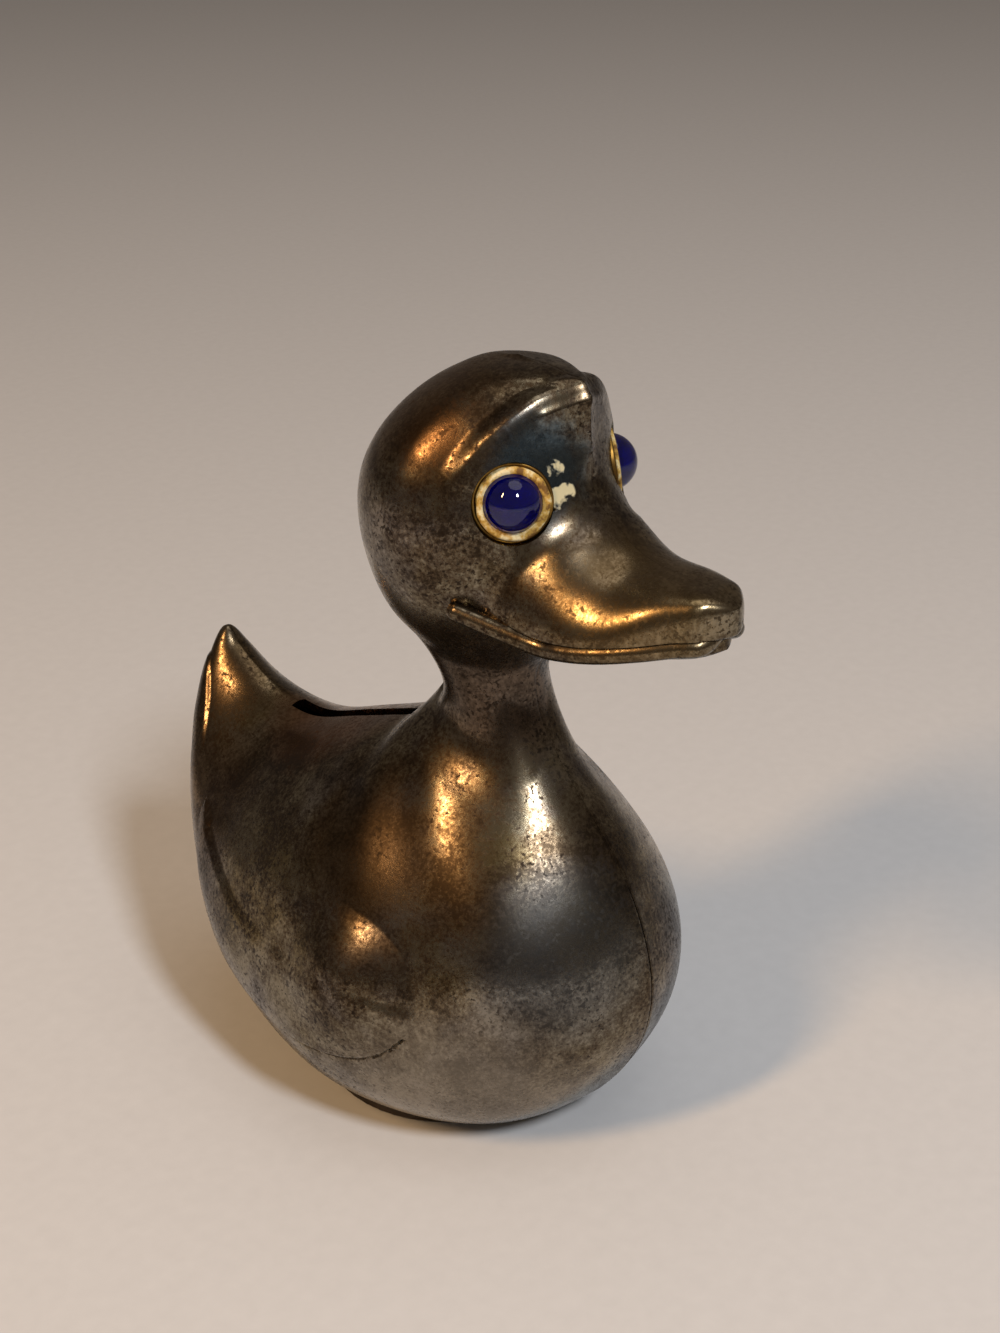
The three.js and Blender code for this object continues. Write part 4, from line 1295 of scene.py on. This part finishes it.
def eye_pieces(side, name):
    """The cup, the bed of cement and the glass ball of one eye."""
    centre, axis = eye_centre(side), eye_axis(side)
    inside = CUP_RADIUS - CUP_WALL
    rolled = [
        (CUP_RADIUS - CUP_WALL / 2 + CUP_WALL / 2 * math.cos(t), CUP_LIP - 0.3 + 0.3 * math.sin(t))
        for t in np.linspace(0, math.pi, 9)
    ]
    cup = lathe(name + "_eye_cup_drawn", [
        (0, -CUP_DEPTH), (CUP_RADIUS - 1.0, -CUP_DEPTH), (CUP_RADIUS - 0.3, 0.3 - CUP_DEPTH),
        (CUP_RADIUS, 1.0 - CUP_DEPTH), *rolled, (inside, 0.8 - CUP_DEPTH),
        (inside - 0.4, CUP_WALL - CUP_DEPTH), (0, CUP_WALL - CUP_DEPTH),
    ], 72, centre, axis)
    bed_radius = inside - CEMENT_CLEARANCE
    seat = GLASS_RADIUS + EYE_CLEARANCE
    seat_angle = 90 - math.degrees(math.asin(CEMENT_LIP / seat))
    top = [(bed_radius + out, CUP_LIP + over) for out, over in CEMENT_BEAD]
    bed = lathe(name + "_eye_cement_bead", [
        (0, CUP_WALL + 0.1 - CUP_DEPTH), (bed_radius - 0.5, CUP_WALL + 0.1 - CUP_DEPTH),
        (bed_radius, CUP_WALL + 0.9 - CUP_DEPTH), *top, *arc(seat, seat_angle, 180, 12),
    ], 96, centre, axis)
    press_unevenly(bed, centre, axis, bed_radius, side)
    ball = lathe(name + "_eye_glass", arc(GLASS_RADIUS, 180, 0, 40), 72, centre, axis)
    return cup, bed, ball


for side, name in ((-1, "right"), (1, "left")):
    cup, bed, ball = eye_pieces(side, name)
    for piece, finish, node, slot in (
        (cup, cup_brass, "_eye_cup", "eye_cup_brass"),
        (bed, cement, "_eye_cement", "eye_cement"),
        (ball, cobalt, "_eye", "cobalt_glass"),
    ):
        smooth_shading(piece, EYE_CORNER_ANGLE)
        fit(piece, finish, name + node)
print("faces of the last ball:", len(ball.data.polygons))

# %% [markdown]
# ## The base and the trap
# These CAD pieces already have the right shape, so they only get their finishes.

# %% Dress the CAD pieces
for node, finish in (
    ("base_plate", base_steel), ("base_collar", trap_brass), ("trap_washer", washer_fibre),
    ("coin_plug", trap_brass), ("pinch_bar", trap_brass),
):
    dress(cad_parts[node], finish)
print("dressed the base and the trap in", base_steel.name, "and", trap_brass.name)

# %% [markdown]
# ## Floor, lamps and camera
# The duck stands on a plain pale floor, as on a sheet of paper. The floor is wide enough to fill the picture.

# %% Floor
FLOOR_HALF = 6.0  # metres
FLOOR_GAP = 0.00003  # metres, so that the base plate's underside and the floor don't share a plane


def studio_floor():
    mesh = bpy.data.meshes.new("floor")
    corners = [(FLOOR_HALF * x, FLOOR_HALF * y, -FLOOR_GAP) for x, y in ((-1, -1), (1, -1), (1, 1), (-1, 1))]
    mesh.from_pydata(corners, [], [(0, 1, 2, 3)])
    floor = placed("floor", mesh)
    finish, add, surface, place = new_finish("pale paper floor")
    fibre = add(NOISE, [place, pattern_scale(3), 3.0])
    tint = add(RAMP, [fibre], [(0.0, "#c2c5ca"), (1.0, "#cacdd2")])
    feed(surface, {"Base Color": tint, "Roughness": 0.9})
    mesh.materials.append(finish)
    return floor


floor = studio_floor()
print("floor is", round(floor.dimensions.x, 1), "metres wide")

# %% [markdown]
# Two soft lamps give the two streaks on the chest: a tall warm one to the duck's right, and a white one
# nearer to the front. Where each stands comes from where its streak lies. A third, wide and weak, fills the
# shadows from above, and the dim brown surroundings are what the metal mirrors elsewhere.

# %% Lamps and surroundings
DUCK_MIDDLE = Vector((0, 0, 0.06))


def direction(azimuth, elevation):
    """A direction from the duck, by degrees round from its front to its left and degrees up."""
    round_, up = math.radians(azimuth), math.radians(elevation)
    return Vector((math.sin(round_) * math.cos(up), -math.cos(round_) * math.cos(up), math.sin(up)))


def soft_lamp(name, towards, distance, size, power, tint):
    """A flat lamp that shines on the duck from a direction."""
    light = bpy.data.lights.new(name, "AREA")
    light.shape = "ELLIPSE"
    light.size, light.size_y = size
    light.energy = power
    light.color = colour(tint)[:3]
    lamp = placed(name, light)
    lamp.location = DUCK_MIDDLE + towards * distance
    lamp.rotation_euler = (DUCK_MIDDLE - lamp.location).to_track_quat("-Z", "Y").to_euler()
    return lamp


soft_lamp("white_lamp", direction(-23, 44), 1.1, (0.15, 0.22), 7.5, "#ffffff")
soft_lamp("warm_lamp", direction(-96, 42), 1.1, (0.12, 0.34), 7, "#ffcc90")
soft_lamp("fill_lamp", direction(30, 80), 1.6, (1.2, 1.2), 4, "#fff8f0")

world = bpy.data.worlds.new("studio")
bpy.context.scene.world = world
world.use_nodes = True
feed(world.node_tree.nodes["Background"], {"Color": "#a8998b", "Strength": 0.42})

# %% [markdown]
# The camera stands where the photograph was taken from: 50 degrees round to the duck's right and 25 degrees
# above it, with a long lens.

# %% Camera
FOCAL_PIXELS = 2072.0
IMAGE_WIDTH = 1000
SENSOR = 36.0
CAMERA_PLACE = (-0.21843, -0.19409, 0.20865)
TO_CAMERA = direction(-50, 25)

camera_data = bpy.data.cameras.new("camera")
camera_data.sensor_fit = "HORIZONTAL"
camera_data.sensor_width = SENSOR
camera_data.lens = FOCAL_PIXELS * SENSOR / IMAGE_WIDTH
camera = placed("camera", camera_data)
camera.location = CAMERA_PLACE
camera.rotation_euler = (-TO_CAMERA).to_track_quat("-Z", "Y").to_euler()
bpy.context.scene.camera = camera
bpy.context.scene.view_settings.view_transform = "Standard"
print("lens:", round(camera_data.lens, 2), "mm")
